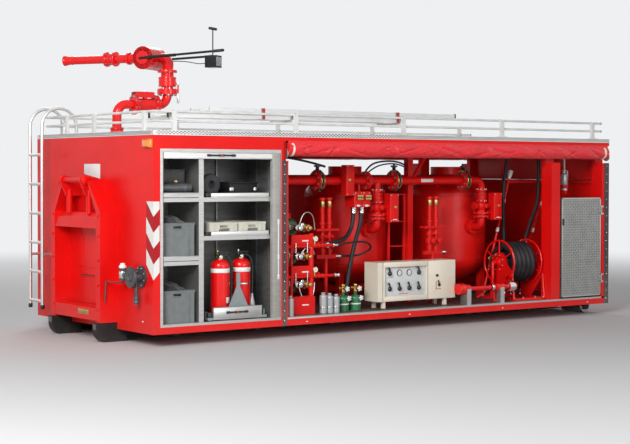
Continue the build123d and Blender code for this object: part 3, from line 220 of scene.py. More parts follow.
def add(tree, kind, inputs, out=0, **settings):
    """A shader node whose inputs are linked where a socket is given and else set; gives one output."""
    node = tree.nodes.new("ShaderNode" + kind)
    for name, value in settings.items():
        setattr(node, name, value)
    for name, value in inputs.items():
        if isinstance(value, bpy.types.NodeSocket):
            tree.links.new(value, node.inputs[name])
        else:
            node.inputs[name].default_value = value
    return node.outputs[out] if node.outputs else node


def maths(tree, operation, *values):
    """One step of arithmetic."""
    return add(tree, "Math", dict(enumerate(values)), operation=operation)


def mixed(tree, share, first, second):
    """Two colours mixed by a share."""
    return add(tree, "Mix", {"Factor": share, "A": first, "B": second}, "Result", data_type="RGBA")


def finish(name, colour, second, rough, grain, bump, metallic=0.0, coat=0.0, bump_scale=180.0, distance=0.001,
           stretch=(1, 1, 1), dust=0.0, dust_height=0.7, sheen=0.0, gloss=0.5):
    """A procedural finish: clouded colour, uneven roughness, fine bump and, where asked, dust low down."""
    material = bpy.data.materials.new(name)
    material.use_nodes = True
    tree = material.node_tree
    tree.nodes.clear()
    place = add(tree, "TexCoord", {}, "Object")
    mapped = add(tree, "Mapping", {"Vector": place, "Scale": stretch})
    cloud = add(tree, "TexNoise", {"Vector": mapped, "Scale": grain, "Detail": 5})
    share = add(tree, "MapRange", {"Value": cloud, "From Min": 0.4, "From Max": 0.75})
    tint = mixed(tree, share, (*colour, 1), (*second, 1))
    if dust:
        height = add(tree, "SeparateXYZ", {"Vector": place}, "Z")
        low = add(tree, "MapRange", {"Value": height, "From Min": dust_height, "From Max": 0.0, "To Max": dust})
        fleck = add(tree, "TexNoise", {"Vector": place, "Scale": 23, "Detail": 8})
        tint = mixed(tree, maths(tree, "MULTIPLY", low, fleck), tint, DUST)
    uneven = add(tree, "MapRange", {"Value": cloud, "To Min": rough[0], "To Max": rough[1]})
    skin = add(tree, "TexNoise", {"Vector": mapped, "Scale": bump_scale, "Detail": 3})
    relief = add(tree, "Bump", {"Strength": bump, "Distance": distance, "Height": skin}, "Normal")
    shader = add(tree, "BsdfPrincipled", {
        "Base Color": tint, "Roughness": uneven, "Normal": relief, "Metallic": metallic, "Coat Weight": coat,
        "Coat Roughness": 0.12, "Sheen Weight": sheen, "Specular IOR Level": gloss})
    add(tree, "OutputMaterial", {"Surface": shader})
    return material


red_paint = finish("red_paint", (0.78, 0.006, 0.005), (0.68, 0.004, 0.004), (0.28, 0.42), 2.2, 0.12, coat=0.05,
    bump_scale=90, dust=0.16, dust_height=0.5, gloss=0.25)
plant_red = finish("plant_red", (0.74, 0.008, 0.006), (0.62, 0.006, 0.005), (0.30, 0.48), 5, 0.25, coat=0.05,
    bump_scale=60, gloss=0.25)
inner_red = finish("inner_red", (0.42, 0.006, 0.005), (0.32, 0.004, 0.004), (0.45, 0.65), 3, 0.15, dust=0.15, gloss=0.2)
extinguisher_red = finish("extinguisher_red", (0.76, 0.006, 0.006), (0.66, 0.005, 0.005), (0.16, 0.26), 3, 0.05,
    coat=0.3, gloss=0.3)
black_paint = finish("black_paint", (0.012, 0.012, 0.013), (0.022, 0.021, 0.020), (0.4, 0.65), 7, 0.3, bump_scale=70,
    dust=0.12, dust_height=0.25, gloss=0.2)
black_plastic = finish("black_plastic", (0.014, 0.014, 0.015), (0.022, 0.022, 0.023), (0.35, 0.5), 30, 0.25,
    bump_scale=900, distance=0.0004)
# Dark rubber for the real rubber parts, and also the colour of the painted shade lines at the locker opening and under
# the shelf folds.
rubber_and_shade = finish("rubber_and_shade", (0.022, 0.023, 0.025), (0.04, 0.04, 0.041), (0.5, 0.72), 14, 0.4, bump_scale=400,
    distance=0.0006, gloss=0.35)
hose_black = finish("hose_black", (0.012, 0.013, 0.015), (0.024, 0.025, 0.028), (0.4, 0.6), 12, 0.4, bump_scale=500,
    distance=0.0005, gloss=0.3)
aluminium = finish("aluminium", (0.57, 0.565, 0.55), (0.47, 0.465, 0.455), (0.28, 0.48), 5, 0.15, metallic=0.9,
    bump_scale=60, stretch=(1, 12, 12))
slat_metal = finish("slat_metal", (0.78, 0.78, 0.76), (0.70, 0.70, 0.68), (0.3, 0.46), 4, 0.12, metallic=0.4,
    bump_scale=50, stretch=(1, 1, 14))
steel = finish("steel", (0.50, 0.50, 0.50), (0.38, 0.37, 0.36), (0.25, 0.45), 16, 0.2, metallic=1.0, bump_scale=200)
bright_steel = finish("bright_steel", (0.72, 0.72, 0.72), (0.62, 0.62, 0.61), (0.12, 0.25), 20, 0.05, metallic=1.0)
rail_paint = finish("rail_paint", (0.70, 0.70, 0.68), (0.56, 0.56, 0.54), (0.35, 0.5), 9, 0.1)
ladder_metal = finish("ladder_metal", (0.74, 0.74, 0.73), (0.62, 0.62, 0.61), (0.3, 0.45), 6, 0.15, metallic=0.85,
    stretch=(1, 9, 9))
strip_black = finish("strip_black", (0.035, 0.034, 0.034), (0.065, 0.06, 0.058), (0.4, 0.6), 10, 0.2, dust=0.6)
grey_plastic = finish("grey_plastic", (0.15, 0.165, 0.165), (0.185, 0.20, 0.20), (0.4, 0.55), 15, 0.3, bump_scale=600,
    distance=0.0004)
pale_plastic = finish("pale_plastic", (0.62, 0.60, 0.51), (0.54, 0.52, 0.44), (0.35, 0.5), 15, 0.2, bump_scale=600,
    distance=0.0004)
bottle_green = finish("bottle_green", (0.012, 0.16, 0.055), (0.01, 0.12, 0.04), (0.25, 0.4), 8, 0.15, coat=0.4)
bottle_grey = finish("bottle_grey", (0.42, 0.44, 0.45), (0.33, 0.35, 0.36), (0.25, 0.4), 9, 0.1, metallic=0.3)
brass = finish("brass", (0.62, 0.43, 0.16), (0.45, 0.30, 0.11), (0.25, 0.42), 18, 0.2, metallic=1.0)
cabinet_white = finish("cabinet_white", (0.80, 0.73, 0.60), (0.73, 0.66, 0.54), (0.3, 0.42), 5, 0.12, coat=0.2,
    bump_scale=200)
zinc_grey = finish("zinc_grey", (0.30, 0.33, 0.335), (0.24, 0.265, 0.27), (0.3, 0.5), 7, 0.15, metallic=0.5)
chequer_grey = finish("chequer_grey", (0.31, 0.315, 0.30), (0.24, 0.245, 0.235), (0.4, 0.6), 9, 0.3, metallic=0.7)
bay_grey = finish("bay_grey", (0.085, 0.078, 0.072), (0.055, 0.050, 0.047), (0.45, 0.7), 6, 0.35, metallic=0.4,
    bump_scale=90)
label_white = finish("label_white", (0.80, 0.80, 0.78), (0.72, 0.72, 0.70), (0.35, 0.5), 12, 0.05)
coupling_grey = finish("coupling_grey", (0.07, 0.075, 0.08), (0.12, 0.125, 0.13), (0.35, 0.55), 14, 0.3, metallic=0.5)
amber = finish("amber", (0.85, 0.26, 0.012), (0.75, 0.2, 0.01), (0.12, 0.2), 25, 0.1, coat=0.8, bump_scale=150)
gun_grey = finish("gun_grey", (0.35, 0.36, 0.37), (0.26, 0.27, 0.28), (0.35, 0.5), 12, 0.2, metallic=0.4)
tarp_red = finish("tarp_red", (0.80, 0.012, 0.022), (0.70, 0.009, 0.017), (0.20, 0.34), 4, 0.35, coat=0.1, gloss=0.5,
    bump_scale=260, distance=0.0008, sheen=0.15)
webbing = finish("webbing", (0.40, 0.02, 0.02), (0.30, 0.015, 0.015), (0.6, 0.8), 40, 0.5, bump_scale=700, sheen=0.3)
print("finishes:", len(bpy.data.materials))

# %% [markdown]
# Each solid that keeps its own shape takes one of these finishes. A table keeps that readable: the
# finish on one side, the nodes that wear it on the other.

# %% Finishes of the plain solids
dressed = (
    (black_paint, "longitudinal_beams cross_members wafer_valves monitor_tiller"),
    (steel, "left_roller right_roller door_hinges"),
    (red_paint, "floor roof side_posts body_walls locker_surrounds hook_frame hook_bar"),
    (ladder_metal, "roof_deck access_ladder stored_ladders"),
    (inner_red, "head_rails inner_walls"),
    (strip_black, "cover_strips"),
    (aluminium, "shutter_frames shelf_rack upper_tray middle_tray sill_edgings cover_tubes"),
    (slat_metal, "roller_shutters"),
    (grey_plastic, "grey_crates"),
    (pale_plastic, "pale_crates"),
    (extinguisher_red, "extinguishers powder_gun reel_frame reel_drum monitor_riser monitor_swivel "
                       "monitor_barrel"),
    (black_plastic, "extinguisher_heads"),
    (zinc_grey, "extinguisher_drawer"),
    (plant_red, "powder_tanks powder_header valve_stacks actuator_boxes bay_frame small_manifolds "
                "cylinder_rack collecting_pipes rear_rail_lances"),
    (bottle_green, "gas_cylinders"),
    (brass, "regulators"),
    (bottle_grey, "small_bottles"),
    (cabinet_white, "control_cabinet"),
    (hose_black, "reel_hose plant_hoses"),
    (chequer_grey, "equipment_door"),
    (coupling_grey, "front_coupling"),
    (amber, "front_lamp"),
    (rail_paint, "railing_posts railing_tubes"),
    (tarp_red, "rolled_covers"),
)
undressed = set(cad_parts)
for material, nodes in dressed:
    for node in nodes.split():
        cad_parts[node].data.materials.clear()
        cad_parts[node].data.materials.append(material)
        undressed.discard(node)
print("undressed:", sorted(undressed))

# %% [markdown]
# The camera stands where the photograph was taken: about 16 m away, a little above a person's waist,
# with a long lens. The light is an overcast sky: one pale world and three broad lamps. Floor and world
# fade into one pale backdrop, which only the camera and mirror-like paint see.

# %% Camera, floor and light
VIEW_TURN, VIEW_DROP, VIEW_ROLL = 0.627770, 0.0250552, 0.001525
PHOTO_WIDTH, FOCAL_PIXELS = 630, 1514.32
BACKDROP = (0.86, 0.87, 0.88, 1)

camera_data = bpy.data.cameras.new("camera")
camera_data.sensor_width = 36
camera_data.lens = 36 * FOCAL_PIXELS / PHOTO_WIDTH
camera_data.shift_y = -12 / PHOTO_WIDTH
camera_data.clip_end = 200
camera = bpy.data.objects.new("camera", camera_data)
bpy.context.collection.objects.link(camera)
aim = Matrix.Rotation(math.pi - VIEW_TURN, 4, "Z") @ Matrix.Rotation(math.pi / 2 - VIEW_DROP, 4, "X")
camera.matrix_world = Matrix.Translation((10.14973, 13.72271, 1.67328)) @ aim @ Matrix.Rotation(VIEW_ROLL, 4, "Z")
bpy.context.scene.camera = camera
bpy.context.scene.view_settings.view_transform = "Standard"

bpy.ops.mesh.primitive_plane_add(size=120, location=(0, 0, 0))
ground = bpy.context.object
ground.name = "studio_floor"
pale = bpy.data.materials.new("studio_floor")
pale.use_nodes = True
tree = pale.node_tree
concrete = tree.nodes["Principled BSDF"]
tone = add(tree, "MapRange", {"Value": add(tree, "TexNoise", {"Scale": 3}), "To Min": 0.55, "To Max": 0.62})
grey = add(tree, "CombineColor", {"Red": tone, "Green": tone, "Blue": tone})
tree.links.new(grey, concrete.inputs["Base Color"])
concrete.inputs["Roughness"].default_value = 0.9
away = add(tree, "VectorMath", {0: add(tree, "TexCoord", {}, "Object")}, "Value", operation="LENGTH")
far = add(tree, "MapRange", {"Value": away, "From Min": 6.0, "From Max": 17.0}, interpolation_type="SMOOTHSTEP")
rays = add(tree, "LightPath", {}).node.outputs
seen = maths(tree, "MAXIMUM", rays["Is Camera Ray"], rays["Is Glossy Ray"])
haze = add(tree, "Emission", {"Color": BACKDROP})
blend = add(tree, "MixShader", {"Fac": maths(tree, "MULTIPLY", far, seen), 1: concrete.outputs["BSDF"], 2: haze})
tree.links.new(blend, tree.nodes["Material Output"].inputs["Surface"])
ground.data.materials.append(pale)

world = bpy.data.worlds.new("studio")
bpy.context.scene.world = world
world.use_nodes = True
tree = world.node_tree
sky = tree.nodes["Background"]
sky.inputs["Color"].default_value = (0.95, 0.97, 1.0, 1)
sky.inputs["Strength"].default_value = 0.24
backdrop = add(tree, "Background", {"Color": BACKDROP, "Strength": 1.0})
rays = add(tree, "LightPath", {}).node.outputs
seen = maths(tree, "MAXIMUM", rays["Is Camera Ray"],
             maths(tree, "MAXIMUM", rays["Is Glossy Ray"], rays["Is Transmission Ray"]))
shown = add(tree, "MixShader", {"Fac": seen, 1: sky.outputs["Background"], 2: backdrop})
tree.links.new(shown, tree.nodes["World Output"].inputs["Surface"])

for name, place, target, size, power in (("key", (10.5, 8.0, 6.2), (0, 0, 1), 5, 1380),
                                         ("fill", (0.5, 12.0, 2.6), (-0.5, 0, 1), 4, 290),
                                         ("back", (-3.0, -9.0, 7.0), (0, 0, 1), 6, 380)):
    lamp = bpy.data.lights.new(name, "AREA")
    lamp.shape, lamp.size, lamp.energy = "SQUARE", size, power
    light = bpy.data.objects.new(name, lamp)
    bpy.context.collection.objects.link(light)
    look = (Vector(target) - Vector(place)).to_track_quat("-Z", "Y").to_matrix().to_4x4()
    light.matrix_world = Matrix.Translation(place) @ look
print("camera and light ready")

# %% [markdown]
# The open side is closed by a coated tarpaulin. Rolled up, it lies close under the roof edge, thick and
# nearly straight, and its stiff cloth breaks into sharp slanting creases with flat facets between them.
# A fine cylinder is divided along its length. Each crease is a narrow slanting dent with a low ridge
# beside it, and a soft cloud on top gives the small dimples.

# %% Rolled side covers
COVER_Y, COVER_Z = 1.2125, 1.903
ROLL = 0.072
DEEPEST = 0.0690
COVER_X0, COVER_X1 = at(6160), at(1552)
RINGS = [COVER_X1 - 0.055, COVER_X0 + 0.055]
DIVISIONS = 20


def crease(obj, scale, strength):
    """Pushes a mesh in and out by a soft cloud of the given size."""
    cloud = bpy.data.textures.new("crease", "CLOUDS")
    cloud.noise_scale, cloud.noise_depth = scale, 3
    push = obj.modifiers.new("crease", "DISPLACE")
    push.texture, push.texture_coords = cloud, "LOCAL"
    push.strength, push.mid_level = strength, 0.5
    pick(obj)
    bpy.ops.object.modifier_apply(modifier="crease")


def crease_lines(count, seed):
    """Slanting creases: place, slant, middle angle, reach round the roll, width and depth."""
    random.seed(seed)
    lines = []
    for i in range(count):
        slant = random.uniform(0.06, 0.34) * random.choice((1, 1, -1))
        width = random.uniform(0.05, 0.11) if i % 2 else random.uniform(0.014, 0.035)
        lines.append((random.uniform(COVER_X0, COVER_X1), slant, random.uniform(-0.7, 0.9),
                      random.uniform(0.5, 1.1), width, random.uniform(0.008, 0.019)))
    return lines


def divide_long_edges(roll, shortest, cuts):
    """Cuts each edge that runs further along the roll than the given length."""
    bpy.ops.object.mode_set(mode="EDIT")
    bpy.ops.mesh.select_mode(type="EDGE")
    bpy.ops.mesh.select_all(action="DESELECT")
    bpy.ops.object.mode_set(mode="OBJECT")
    for edge in roll.data.edges:
        a, b = (roll.data.vertices[i].co for i in edge.vertices)
        edge.select = abs(a.x - b.x) > shortest
    bpy.ops.object.mode_set(mode="EDIT")
    bpy.ops.mesh.subdivide(number_cuts=cuts)
    bpy.ops.mesh.select_mode(type="VERT")
    bpy.ops.object.mode_set(mode="OBJECT")


def rolled_cover(side, name):
    """One rolled tarpaulin with its slack and its slanting creases."""
    length = COVER_X1 - COVER_X0
    bpy.ops.mesh.primitive_cylinder_add(vertices=56, radius=ROLL, depth=length, end_fill_type="NGON",
                                        location=(0, 0, 0), rotation=(0, math.radians(90), 0))
    roll = bpy.context.object
    bpy.ops.object.transform_apply(location=True, rotation=True)
    divide_long_edges(roll, 0.5 * length, DIVISIONS - 1)
    divide_long_edges(roll, 0.5 * length / DIVISIONS, DIVISIONS)
    moved(roll, Matrix.Translation(((COVER_X0 + COVER_X1) / 2, 0, 0)))
    lines = crease_lines(54, 11 if side > 0 else 12)
    near = {}
    for vertex in roll.data.vertices:
        x, y, z = vertex.co
        angle = math.atan2(z, y * side)
        dent = 0.0
        ring = round(x, 3)
        if ring not in near:
            near[ring] = [line for line in lines if abs(x - line[0]) < 4 * line[4] + 4 * abs(line[1])]
        for place, slant, middle, reach, width, depth in near[ring]:
            off = (x - place - slant * (angle - middle)) / width
            if abs(off) < 4:
                fade = math.exp(-(((angle - middle) / reach) ** 2))
                dent += depth * fade * (math.exp(-2 * abs(off)) - 0.45 * math.exp(-((off - 1.7) ** 2)))
        slack = 1 + 0.018 * math.sin(1.9 * x + side) + 0.022 * math.sin(2 * angle + 1.3 * x)
        tight = 1 - 0.06 * math.exp(-((min(abs(x - ring) for ring in RINGS) / 0.05) ** 2))
        size = slack * tight - dent / ROLL
        vertex.co.y = y * size * 0.95
        vertex.co.z = z * size * 1.03
    crease(roll, 0.30, 0.008)
    crease(roll, 0.06, 0.0025)
    for vertex in roll.data.vertices:
        vertex.co.y = max(-DEEPEST, min(DEEPEST, vertex.co.y)) + side * COVER_Y
        vertex.co.z += COVER_Z
    return settle(roll, name, tarp_red, smooth=40)


def cover_flap(side, name):
    """The free edge of the cover, from the roof edge down behind the roll, with a wavy hem."""
    bpy.ops.mesh.primitive_grid_add(x_subdivisions=150, y_subdivisions=5, size=1)
    flap = bpy.context.object
    for vertex in flap.data.vertices:
        down = vertex.co.y + 0.5
        x = COVER_X0 + (COVER_X1 - COVER_X0) * (vertex.co.x + 0.5)
        wave = (0.004 * math.sin(11 * x) + 0.002 * math.sin(37 * x)) * (1 - down)
        vertex.co = (x, side * (1.2495 + 0.3 * wave), 1.905 + 0.085 * down)
    thick = flap.modifiers.new("cloth", "SOLIDIFY")
    thick.thickness = 0.0025
    pick(flap)
    bpy.ops.object.modifier_apply(modifier="cloth")
    return settle(flap, name, tarp_red, smooth=60)


for side, hand in ((1, "_left"), (-1, "_right")):
    roll = rolled_cover(side, "rolled_cover" + hand)
    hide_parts("rolled_covers")
    cover_flap(side, "cover_flap" + hand)
    settle([turned([-12, 70, -10, 73.5, 10, 73.5, 12, 70], (ring_x, side * COVER_Y, COVER_Z), "x", 40)
            for ring_x in RINGS], "cover_rings" + hand, cabinet_white, bevel=0.001)
print("covers rolled")

# %% [markdown]
# The front carries the marks of daily work: warning chevrons on the corner, a blank plate, a data plate
# that stays blank here, louvres in the hook frame and the fittings of the filling coupling. The stripes
# are a pattern in the paint film, so they are thin plates with a procedural stripe, not many slivers.

# %% Chevron film
STRIPE_SLOPE, STRIPE_PITCH, STRIPE_SHIFT = 1.08, 0.301, 0.1065
STRIPE_FOOT, STRIPE_TOP = 0.646, 1.392
CORNER = (FRONT, SIDE, STRIPE_FOOT)


def stripe_film(name, axis, corner):
    """Red and white stripes that climb at 45 degrees across a flat film."""
    material = finish(name, (0.78, 0.78, 0.74), (0.70, 0.70, 0.66), (0.3, 0.45), 8, 0.05, gloss=0.25)
    tree = material.node_tree
    base = tree.nodes["Principled BSDF"].inputs["Base Color"]
    split = add(tree, "SeparateXYZ", {"Vector": add(tree, "TexCoord", {}, "Object")}).node.outputs
    climb = maths(tree, "MULTIPLY_ADD", split[axis], STRIPE_SLOPE, split["Z"])
    shift = maths(tree, "ADD", climb, STRIPE_SHIFT - STRIPE_SLOPE * corner)
    part = maths(tree, "FRACT", maths(tree, "DIVIDE", shift, STRIPE_PITCH))
    striped = mixed(tree, maths(tree, "GREATER_THAN", part, 0.5), (0.40, 0.006, 0.012, 1),
                    base.links[0].from_socket)
    tree.links.new(striped, base)
    return material


front_film = block((FRONT - 0.0002, 1.112, STRIPE_FOOT), (FRONT + 0.0012, 1.2458, STRIPE_TOP))
side_film = block((at(66), SIDE - 0.0002, STRIPE_FOOT), (FRONT - 0.0005, SIDE + 0.0012, STRIPE_TOP))
for film, name, axis, corner, normal in ((front_film, "chevron_front", "Y", SIDE, (0, -STRIPE_SLOPE, -1)),
                                         (side_film, "chevron_side", "X", FRONT, (-STRIPE_SLOPE, 0, -1))):
    settle(sliced(film, (CORNER, normal, "outer"), fill=True), name, stripe_film(name, axis, corner))
print("chevrons on the corner")

# %% Plates, louvres and fittings on the front wall


def ahead(x0, x1, y0, y1, z0, z1):
    """A box whose X is given ahead of the front wall."""
    return block((FRONT + x0, y0, z0), (FRONT + x1, y1, z1))


def disc_ring(centre, radius, degrees, axis):
    """Places on a circle in the plane of Y and Z."""
    turns = [math.radians(angle) for angle in degrees]
    return [spot((centre[0], centre[1] + radius * math.cos(a), centre[2] + radius * math.sin(a)), axis)
            for a in turns]


bpy.ops.mesh.primitive_circle_add(vertices=4, radius=1, fill_type="NGON")
blank = bpy.context.object
for vertex, (y, z) in zip(blank.data.vertices, [(-0.160, 1.651), (0.183, 1.604), (0.183, 1.752), (-0.160, 1.752)]):
    vertex.co = (FRONT - 0.0002, y, z)
edit_all(blank)
bpy.ops.mesh.extrude_region_move(TRANSFORM_OT_translate={"value": (0.0022, 0, 0)})
bpy.ops.mesh.select_all(action="SELECT")
bpy.ops.mesh.normals_make_consistent(inside=False)
bpy.ops.object.mode_set(mode="OBJECT")
settle(blank, "blank_front_plate", label_white, bevel=0.0005)
settle(ahead(0.1858, 0.1878, 0.060, 0.285, 0.255, 0.305), "data_plate", brass, bevel=0.0006)
settle(copies(turned([-1, 4, 0, 4, 1.5, 3.2, 2.5, 1.2], sides=10),
              [spot((FRONT + 0.1876, y, z), "x") for y in (0.068, 0.277) for z in (0.263, 0.297)]),
       "data_plate_rivets", steel)
settle([ahead(0.013, 0.022, -0.254, 0.134, 0.706, 0.718), ahead(0.013, 0.026, -0.20, 0.10, 0.610, 0.616),
        ahead(0.013, 0.026, -0.20, 0.10, 0.632, 0.638), ahead(0.013, 0.019, -0.205, -0.185, 0.345, 1.116)],
       "hook_frame_folds", red_paint, bevel=0.0015)
settle([ahead(0.0135, 0.0165, -0.18 + 0.055 * i, -0.145 + 0.055 * i, 0.6175, 0.6305) for i in range(5)],
       "hook_frame_slots", strip_black, bevel=0.001)
settle(copies(turned([0, 13, 9, 13, 11, 11], sides=6),
              [spot((FRONT + 0.1895, side * 0.49, z), "x", 12)
               for side in (1, -1) for z in (0.32, 0.56, 0.80, 1.04, 1.24)]),
       "hook_frame_bolts", red_paint, bevel=0.001)
settle(copies(turned([0, 46, 6, 46, 8, 43], sides=28),
              [spot((at(-200), y, 1.590), axis) for y, axis in ((0.2445, "y"), (-0.2445, "-y"))]),
       "hook_bar_washers", red_paint, bevel=0.001)

COUPLING_Y, COUPLING_Z = 1.020, 0.668
settle([turned([0, 100, 4, 102, 12, 102, 16, 98], (FRONT + 0.112, COUPLING_Y, COUPLING_Z), "x", 48),
        turned([0, 45, 6, 44, 8, 34, 2, 28, -4, 26], (FRONT + 0.1295, COUPLING_Y, COUPLING_Z), "x", 40)],
       "coupling_face", coupling_grey, bevel=0.001)
settle(copies(turned([0, 16, 22, 15, 26, 11], sides=16),
              disc_ring((FRONT + 0.108, COUPLING_Y, COUPLING_Z), 0.088, (40, 160, 280), "-x")),
       "coupling_lugs", coupling_grey, bevel=0.001)
settle(copies(turned([0, 9, 7, 9, 9, 7], sides=6),
              disc_ring((FRONT + 0.0195, COUPLING_Y, COUPLING_Z), 0.085, [22.5 + 45 * i for i in range(8)], "x")),
       "coupling_bolts", steel, bevel=0.0008)
for stations, place, sides, name, skin in (
        ([0, 34.5, 8, 37, 20, 37, 28, 33, 30, 24, 46, 24, 50, 21], (FRONT + 0.090, 0.810, 0.7425), 24,
         "filling_valve_cap", label_white),
        ([0, 35.5, 4, 37.5, 60, 37.5, 66, 36], (FRONT + 0.090, 0.810, 0.645), 24,
         "filling_valve_body", bright_steel),
        ([0, 27.5, 6, 28.5, 22, 28.5, 26, 26.5, 40, 26.5, 44, 28.5, 60, 28.5, 64, 26],
         (FRONT + 0.065, 1.030, 0.412), 20, "drain_fitting", coupling_grey)):
    settle(turned(stations, place, "z", sides), name, skin, bevel=0.001)
settle(ahead(0.0452, 0.0485, 1.114, 1.222, 1.914, 1.972), "lamp_lens", amber, bevel=0.003, segments=3)
settle([ahead(0.0, 0.046, 1.100, 1.236, 1.9805, 1.9845), ahead(0.0, 0.030, 1.2305, 1.2345, 1.903, 1.984)],
       "lamp_hood", amber, bevel=0.001)
settle(ahead(-0.0002, 0.003, 1.030, 1.056, 0.232, 0.244), "front_reflector", label_white, bevel=0.001)
print("front fitted")

# %% [markdown]
# The locker behind the left shutter is lined with bare sheet. Its shelves carry crates, pull-out trays
# and, on the floor, a drawer with extinguishers. The lining is thin sheet just inside the solid walls,
# with folded stiffeners, because in the photograph the inside reads as grey metal and not as red paint.

# %% Locker lining
lining_grey = finish("lining_grey", (0.25, 0.255, 0.25), (0.17, 0.175, 0.17), (0.35, 0.55), 4, 0.2,
                     metallic=0.6, bump_scale=40, stretch=(1, 1, 6))
beige_rail = finish("beige_rail", (0.36, 0.355, 0.33), (0.30, 0.295, 0.275), (0.35, 0.5), 10, 0.1,
                    stretch=(1, 1, 5))
LOCKER_REAR, LOCKER_FRONT = 1496, 41
SHELF_REAR, SHELF_FRONT = 534, 109
sheets = [box(LOCKER_REAR - 2, LOCKER_FRONT + 2, 0.607, 0.609, 0.212, 1.983),
          box(LOCKER_REAR - 0.3, LOCKER_REAR - 2.2, 0.607, 1.195, 0.212, 1.983),
          box(LOCKER_FRONT + 1.6, LOCKER_FRONT - 0.7, 0.607, 1.195, 0.212, 1.983),
          box(LOCKER_REAR - 2, LOCKER_FRONT + 2, 0.607, 1.195, 0.2102, 0.2116),
          box(LOCKER_REAR - 2, LOCKER_FRONT + 2, 0.607, 1.195, 1.9830, 1.9848)]
sheets += [box(s, s - 34, 0.608, 0.634, 0.212, 1.980) for s in (1120, 960, 300)]
sheets += [box(LOCKER_REAR - 2, LOCKER_REAR - 22, y, y + 0.030, 0.212, 1.980) for y in (0.760, 0.980)]
settle(sheets, "locker_lining", lining_grey, bevel=0.0006)
settle(box(1456, 1368, 1.196, 1.2462, 0.2165, 1.8625), "locker_side_rail", beige_rail, bevel=0.002)
# Painted shadow: two narrow dark strips in the rubber finish run up the edges of the opening as shadow lines; the rear
# one makes the flush beige rail look set back.
for name, rear in (("rear", 1461), ("front", 111)):
    settle(box(rear, rear - 4.5, 1.24, 1.2466, 0.2165, 1.8625), "locker_shadow_line_" + name, rubber_and_shade, bevel=0.0008)
settle([box(1441, 1429, 1.246, 1.2495, 0.615, 1.185)]
       + [box(1446, 1424, 1.2458, 1.2498, z, z + 0.050) for z in (0.600, 0.800, 1.150)],
       "locker_lashing_rail", label_white, bevel=0.001)
print("locker lined")

# %% [markdown]
# The shutter hangs rolled up under the roof. Only its end slat shows, with a black bar handle that has
# a red button in the middle. The drawer front carries the same handle.

# %% Bar handles
button_red = finish("button_red", (0.62, 0.02, 0.02), (0.55, 0.015, 0.015), (0.25, 0.35), 6.0, 0.05, coat=0.4)


def bar_handle(x, y, z, length, name, body="container"):
    """A black grip bar on two feet with a red button in its middle."""
    end = 500 * length
    parts = [turned([-end, 6, -end + 10, 8.5, end - 10, 8.5, end, 6], (x, y + 0.0115, z), "x", 16)]
    for foot in (x + length * 0.42, x - length * 0.42):
        parts.append(block((foot - 0.02, y - 0.0005, z - 0.012), (foot + 0.02, y + 0.012, z + 0.012)))
    parts.append(block((x - 0.032, y + 0.002, z - 0.011), (x + 0.032, y + 0.0195, z + 0.011)))
    settle(parts, name, black_plastic, body, bevel=0.002)
    settle(turned([-2, 12, 0, 12, 3, 10], (x, y + 0.0190, z), "y", 20), name + "_button", button_red, body,
           bevel=0.0008)


bar_handle(at(765), 1.234, 1.834, 0.33, "shutter_handle")
settle(box(1398, 110, 1.2135, 1.2325, 1.7985, 1.8012), "shutter_seal", rubber_and_shade, bevel=0.0006)
settle([box(1397, 111, 1.2338, 1.2352, z, z + 0.005) for z in (1.806, 1.853)], "shutter_slat_ribs", aluminium,
       bevel=0.0005)

# %% Shelf fronts, tray latches and crate ribs
settle([box(rear, front, 1.1938, 1.1985, top - 0.006, top - 0.0005)
        for top, rear, front in ((1.472, SHELF_REAR, SHELF_FRONT), (0.861, SHELF_REAR, SHELF_FRONT),
                                 (1.424, 1367, 591), (1.048, 1367, 591))],
       "shelf_front_beads", aluminium, bevel=0.0012)
# Painted shade: a thin dark strip in the rubber finish below each shelf front stands in for the shade under its fold.
settle([box(SHELF_REAR, SHELF_FRONT, 1.1938, 1.1965, top - 0.050, top - 0.044) for top in (1.472, 0.861)],
       "shelf_fold_shade_lines", rubber_and_shade, bevel=0.0006)
for name, top in (("upper_tray", 1.424), ("middle_tray", 1.048)):
    settle(box(1350, 676, 1.1948, 1.1975, top + 0.008, top + 0.0385), name + "_front", slat_metal, name,
           bevel=0.0015)
    settle([box(671, 612, 1.150, 1.2005, top + 0.004, top + 0.040),
            box(664, 640, 1.199, 1.2055, top + 0.012, top + 0.032)], name + "_latch", black_plastic, name,
           bevel=0.003)


def crate_ribs(x0, x1, y, z0, z1, rim):
    """Upright ribs, a slot frame and a bead on the front of a moulded crate."""
    parts = []
    for share in (0.13, 0.17, 0.83, 0.87):
        x = x0 + (x1 - x0) * share
        parts.append(block((x - 0.0035, y - 0.0004, z0 + 0.004), (x + 0.0035, y + 0.004, z1 - 0.022)))
    middle = (x0 + x1) / 2
    return parts + [
        block((middle - 0.052, y + 0.001, z1 - 0.0595), (middle + 0.052, y + rim + 0.002, z1 - 0.0535)),
        block((x0 - 0.001, y - 0.0004, z0), (x1 + 0.001, y + 0.003, z0 + 0.010)),
        block((x0 - rim, y + rim - 0.0004, z1 - 0.006), (x1 + rim, y + rim + 0.003, z1 - 0.0005))]


PALE_CRATES = (at(680), at(1014))
settle([rib for z0 in (0.8613, 0.2103) for rib in crate_ribs(at(490), at(110), 1.182, z0, z0 + 0.320, 0.005)],
       "grey_crate_ribs", grey_plastic, bevel=0.0012)
settle([rib for x1 in PALE_CRATES for rib in crate_ribs(x1 - 0.318, x1, 1.165, 1.0606, 1.1786, 0.004)],
       "pale_crate_ribs", pale_plastic, "middle_tray", bevel=0.001)
hole = moved(block((-0.007, -0.0006, -0.007), (0.007, 0.0006, 0.007)), rotation("Y", 45))
settle(copies(hole, [Matrix.Translation((x1 - 0.159 + (i - shift) * 0.024, 1.1655, z)) for x1 in PALE_CRATES
                     for i in range(5) for shift, z in ((2, 1.0985), (2.5, 1.0865), (2.5, 1.1105))]),
       "pale_crate_holes", black_plastic, "middle_tray")
print("shelves and crates finished")

# %% [markdown]
# In the crates lie folded cloths. Their tops are soft lumps: a ball is flattened, pushed about by a
# coarse cloud for the folds and a fine one for wrinkles, and kept inside the crate's walls.

